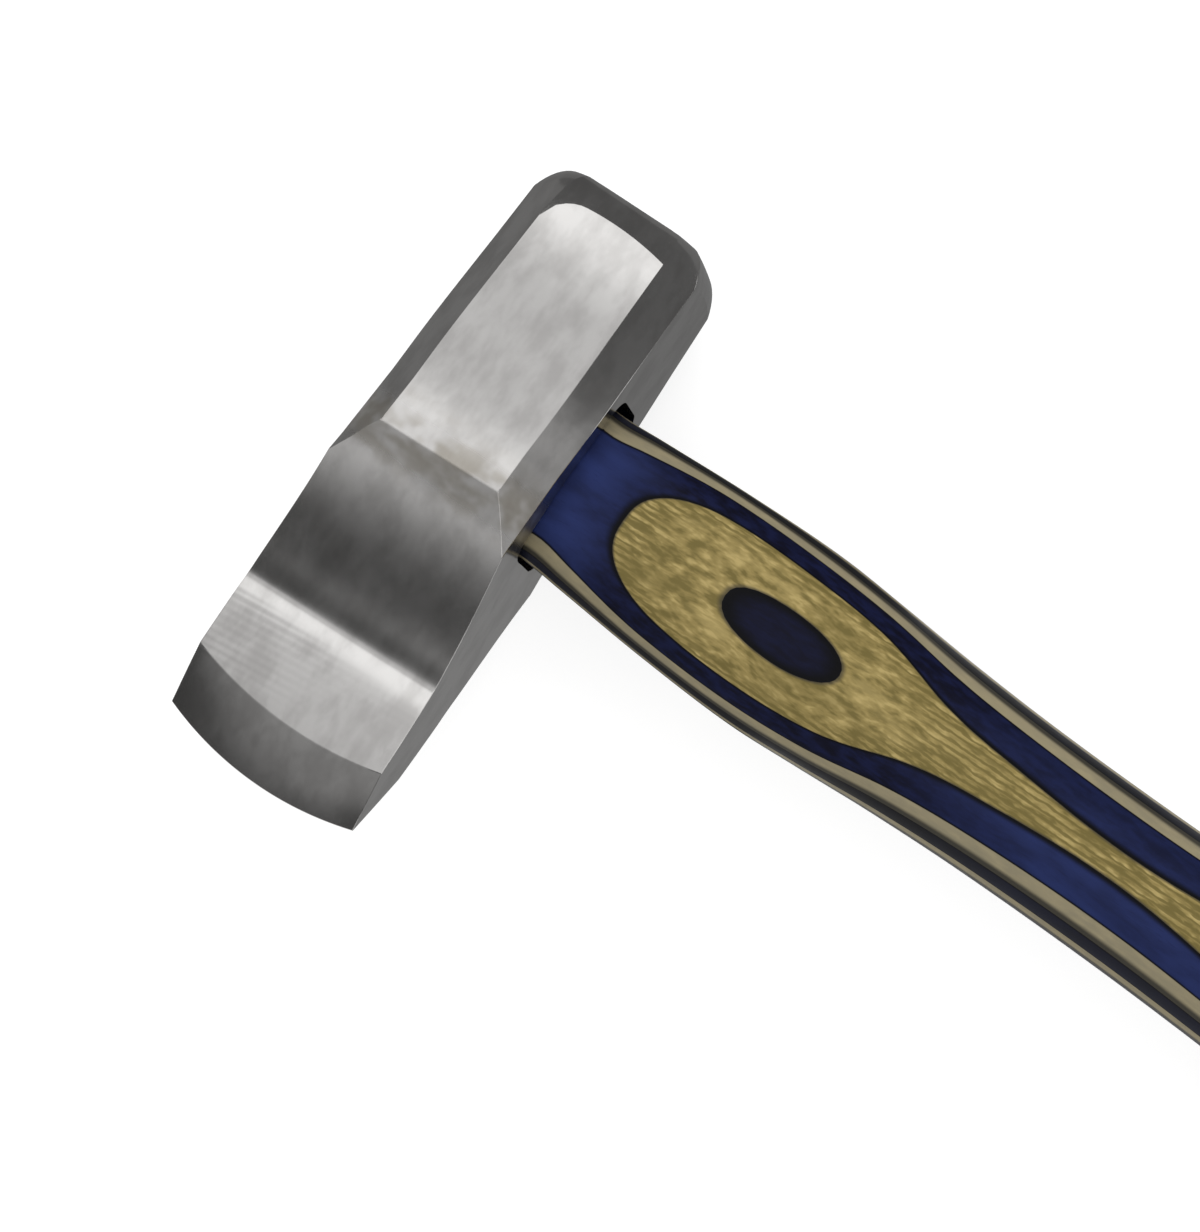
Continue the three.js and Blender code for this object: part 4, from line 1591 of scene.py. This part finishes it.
@dataclass
class Stage:
    """The white floor and world, the softbox, and the cards that the steel reflects."""

    floor_height: float
    floor_middle: float = 0.15
    floor_size: float = 8.0
    floor_grey: Colour = (0.4, 0.4, 0.4, 1)
    floor_glow: float = 0.8
    day: float = 0.75
    lamp_place: Vector = field(default_factory=lambda: Vector((-0.15, 0.55, 0.75)))
    lamp_aim: Vector = field(default_factory=lambda: Vector((0.05, 0, 0)))
    lamp_size: float = 0.5
    lamp_power: float = 2.0

    def build(self) -> None:
        """Set up everything round the object."""
        self.world()
        self.floor()
        self.lamp()
        for card in self.cards():
            card.build()

    def cards(self) -> list[Card]:
        """Describe the cards round the head, by the part of the steel that each is for.

        Returns:
            The cards.
        """
        blade = (
            (-0.05, 0.06), (-0.006, 0.07), (0.004, 0.3), (0.012, 0.4), (0.035, 0.55), (0.052, 0.8),
            (0.06, 0.55), (0.068, 0.25), (0.074, 0.15), (0.08, 0.09), (0.092, 0.06), (0.098, 0.09),
            (0.103, 0.14), (0.108, 0.3), (0.111, 0.7), (0.118, 0.84), (0.13, 0.78), (0.147, 0.78),
            (0.152, 1.1), (0.157, 1.5), (0.2, 1.5),
        )
        cheek = (
            (-0.045, 1.35), (-0.023, 1.35), (-0.017, 0.82), (-0.008, 0.84), (0.006, 0.82),
            (0.011, 1.0), (0.018, 1.5), (0.03, 1.5),
        )
        down, right = (0, 0, -1), (1, 0, 0.15)
        bevel = even(-0.006, 0.008, 0.33)
        return [
            Card("blade_card", (0, -0.06, 0.0217), (-0.2, -0.85, 0.49), 0.12, 0.4, blade),
            Card("bevel_card", (0.018, -0.062, 0.022), (-0.09, -0.82, 0.56), 0.06, 0.034, bevel),
            Card("cheek_card", (0, 0.02, 0.035), (-0.2, 0.253, 0.947), 0.06, 0.3, cheek),
            Card("poll_card", (0, 0.04, 0.03), (-0.1, 1, 0.15), 0.12, 0.4, even(-0.17, 0.1, 0.14)),
            Card("poll_left_card", (-0.014, 0.038, 0.03), (-1, 1, 0.1), 0.08, 0.13, even(-0.08, 0.06, 0.14)),
            Card("poll_right_card", (0.014, 0.038, 0.03), (1, 1, 0.1), 0.08, 0.15, even(-0.08, 0.13, 0.14)),
            # a card lying on the floor by the poll: painted shade of the floor beside the head, as the steel
            # reflects it
            Card("poll_floor_shade_card", (-0.015, 0.075, 0.01), down, 0.0105, 0.17, even(-0.1, 0.075, 0.2)),
            Card("left_card", (-0.016, -0.01, 0.03), (-1, 0, -0.1), 0.06, 0.18, even(-0.03, 0.04, 0.22)),
            Card("right_poll_card", (0.016, 0.165, 0.03), right, 0.33, 0.168, even(-0.03, 0.12, 0.15)),
            Card("right_eye_card", (0.016, -0.01, 0.03), right, 0.33, 0.182, even(-0.03, 0.12, 0.47)),
            Card("right_edge_card", (0.016, -0.07, 0.03), right, 0.05, 0.054, even(-0.03, 0.04, 0.52)),
            # a card lying on the floor under the head's side: painted shade of the floor there, as the steel
            # reflects it
            Card("under_floor_shade_card", (0.035, -0.01, 0.01), down, 0.0108, 0.05, even(-0.065, 0.06, 0.27)),
        ]

    def world(self) -> None:
        """Light the scene evenly, and show white to the camera and in reflections."""
        world = bpy.data.worlds.new("studio")
        bpy.context.scene.world = world
        world.use_nodes = True
        nodes = Nodes(world.node_tree)
        light, shown = (
            nodes.add("ShaderNodeBackground", {"Color": WHITE, "Strength": strength}).outputs[0]
            for strength in (self.day, 1.0)
        )
        mix = nodes.add("ShaderNodeMixShader", {0: nodes.looked_at(), 1: light, 2: shown})
        nodes.add("ShaderNodeOutputWorld", {0: mix.outputs[0]})

    def floor(self) -> None:
        """Lay a floor that reads as white and keeps a faint shadow."""
        place = (self.floor_middle, 0, self.floor_height)
        floor = add_primitive(bpy.ops.mesh.primitive_plane_add, "floor", size=self.floor_size, location=place)
        material, nodes = blank_material("white_floor")
        paper = nodes.add("ShaderNodeBsdfDiffuse", {"Color": self.floor_grey}).outputs[0]
        strength = nodes.product(nodes.looked_at(), self.floor_glow)
        glow = nodes.add("ShaderNodeEmission", {"Color": WHITE, "Strength": strength}).outputs[0]
        both = nodes.add("ShaderNodeAddShader", {0: paper, 1: glow})
        nodes.add("ShaderNodeOutputMaterial", {0: both.outputs[0]})
        floor.data.materials.append(material)

    def lamp(self) -> None:
        """Hang the softbox, facing the tool."""
        light = bpy.data.lights.new("key_softbox", "AREA")
        light.shape = "SQUARE"
        light.size = self.lamp_size
        light.energy = self.lamp_power
        item = bpy.data.objects.new("key_softbox", light)
        item.visible_glossy = False
        item.location = self.lamp_place
        item.rotation_euler = (self.lamp_place - self.lamp_aim).to_track_quat("Z", "Y").to_euler()
        bpy.context.scene.collection.objects.link(item)


@dataclass(frozen=True)
class Viewpoint:
    """The camera: where it aims, how it is turned, and how far off it stands."""

    aim: tuple[float, float, float] = (0.0297, -0.0144, 0.0118)
    yaw: float = math.radians(11.52)
    pitch: float = math.radians(2.18)
    roll: float = math.radians(34.99)
    distance: float = 0.512
    lens: float = 96.0
    sensor: float = 36.0
    nearest: float = 0.01

    def build(self) -> None:
        """Place the camera and make it the scene's."""
        camera = bpy.data.cameras.new("camera")
        camera.lens = self.lens
        camera.sensor_width = self.sensor
        camera.sensor_fit = "HORIZONTAL"
        camera.clip_start = self.nearest
        item = bpy.data.objects.new("camera", camera)
        place = Matrix.Translation(self.aim)
        for angle, axis in ((self.yaw, "Y"), (self.pitch, "X"), (self.roll, "Z")):
            place = place @ Matrix.Rotation(angle, 4, axis)
        item.matrix_world = place @ Matrix.Translation((0, 0, self.distance))
        bpy.context.scene.collection.objects.link(item)
        bpy.context.scene.camera = item


# ---- the tool --------------------------------------------------------------------------------


@dataclass
class Maul:
    """The whole tool: its head, its plies and its wedges, about its middle plane."""

    head: Head = field(default_factory=Head)
    handle: Handle = field(default_factory=Handle)
    cross_wedge_spacing: float = 12.5 * MM

    @property
    def middle(self) -> float:
        """Height of the middle plane in the frame: the lower cheek lies at zero under the eye."""
        return self.head.cheek_height(0)

    def wedges(self) -> list[Wedge]:
        """Describe the three wedges.

        Returns:
            The wooden wedge first, and then the two steel ones that cross it.
        """
        wood = {"length": 24 * MM, "depth": 21 * MM, "top": 3.4 * MM, "tip": 0.9 * MM, "sunk": 0.3 * MM}
        cross = {"length": 11.4 * MM, "depth": 14 * MM, "top": 2.4 * MM, "tip": 0.7 * MM, "sunk": 0.6 * MM}
        offset = self.cross_wedge_spacing / 2
        return [
            Wedge("wedge_hardwood", "wedge_wood", **wood),
            Wedge("wedge_steel_poll_side", "wedge_steel", standing=True, offset=offset, **cross),
            Wedge("wedge_steel_edge_side", "wedge_steel", standing=True, offset=-offset, **cross),
        ]

    def plies(self) -> list[Ply]:
        """Describe every ply, the outermost ones as three islands each.

        Returns:
            The plies, from the middle one outwards, first the upper and then the lower ones.
        """
        handle, outer = self.handle, self.handle.outer_ply
        zones = {
            "shoulder": (-FAR, handle.waist),
            "grip": (handle.waist, handle.neck),
            "butt": (handle.neck, FAR),
        }
        found = [Ply("ply_middle", 0)]
        for side, name in ((1, "upper"), (-1, "lower")):
            found += [Ply(f"ply_{name}_{level}", side * level) for level in range(1, outer)]
            found += [Ply(f"ply_{name}_{outer}_{zone}", side * outer, *span) for zone, span in zones.items()]
        return found

    def finishes(self) -> dict[str, bpy.types.Material]:
        """Build the finishes.

        Returns:
            The material of each of the record's slots.
        """
        woodwork = Woodwork(lamination_group(self.handle.ply / MM), grain_group(), self.middle / MM)
        return {
            "steel": GroundSteel().material(),
            "wedge_steel": RolledSteel().material(),
            "wedge_wood": WedgeWood().material(woodwork),
            "blue_veneer": BlueVeneer().material(woodwork),
            "tan_veneer": TanVeneer().material(woodwork),
        }

    def finish_piece(
        self, item: bpy.types.Object, node: str, slot: str, material: bpy.types.Material
    ) -> None:
        """Lift a piece to the frame, dress it and let it stand for its CAD node.

        Args:
            item: The finished piece, about the middle plane.
            node: The CAD node that it stands for.
            slot: The record's material slot.
            material: Its finish.
        """
        item.location.z += self.middle
        settle(item)
        item.data.materials.clear()
        item.data.materials.append(material)
        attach(item, "root")
        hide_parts(node)
        log.info("%s: %d faces, %s", node, len(item.data.polygons), slot)

    def cut_kerf(self, item: bpy.types.Object, wedge: Wedge) -> None:
        """Cut the kerf of one wedge out of a piece."""
        combine(item, wedge.build(self.handle.tenon_end, self.handle.clearance), Join.CUT)

    def build(self) -> None:
        """Model and dress every piece."""
        finishes = self.finishes()
        self.finish_piece(self.head.build(), "head", "steel", finishes["steel"])
        wedges = self.wedges()
        form = self.handle.form()
        for ply in self.plies():
            veneer = self.handle.cut_ply(form, ply)
            lowest = (abs(ply.level) - 0.5) * self.handle.ply
            for wedge in wedges:
                if lowest < wedge.half_height + self.handle.clearance:
                    self.cut_kerf(veneer, wedge)
            self.handle.dress_normals(veneer, ply)
            self.finish_piece(veneer, ply.node, ply.slot, finishes[ply.slot])
        remove(form)
        for wedge in wedges:
            block = wedge.build(self.handle.tenon_end)
            if not wedge.standing:
                for cross in wedges[1:]:
                    self.cut_kerf(block, cross)
            soften_edges(block, wedge.softness, wedge.sharp_angle)
            self.finish_piece(block, wedge.node, wedge.slot, finishes[wedge.slot])


def main() -> None:
    """Build the tool and its stage, and note how much room the looks take."""
    logging.basicConfig(level=logging.INFO, format="%(message)s")
    bpy.context.scene.view_settings.view_transform = "Standard"
    Maul().build()
    Stage(floor_height=-1.2 * MM).build()
    Viewpoint().build()


if __name__ == "__main__":
    main()
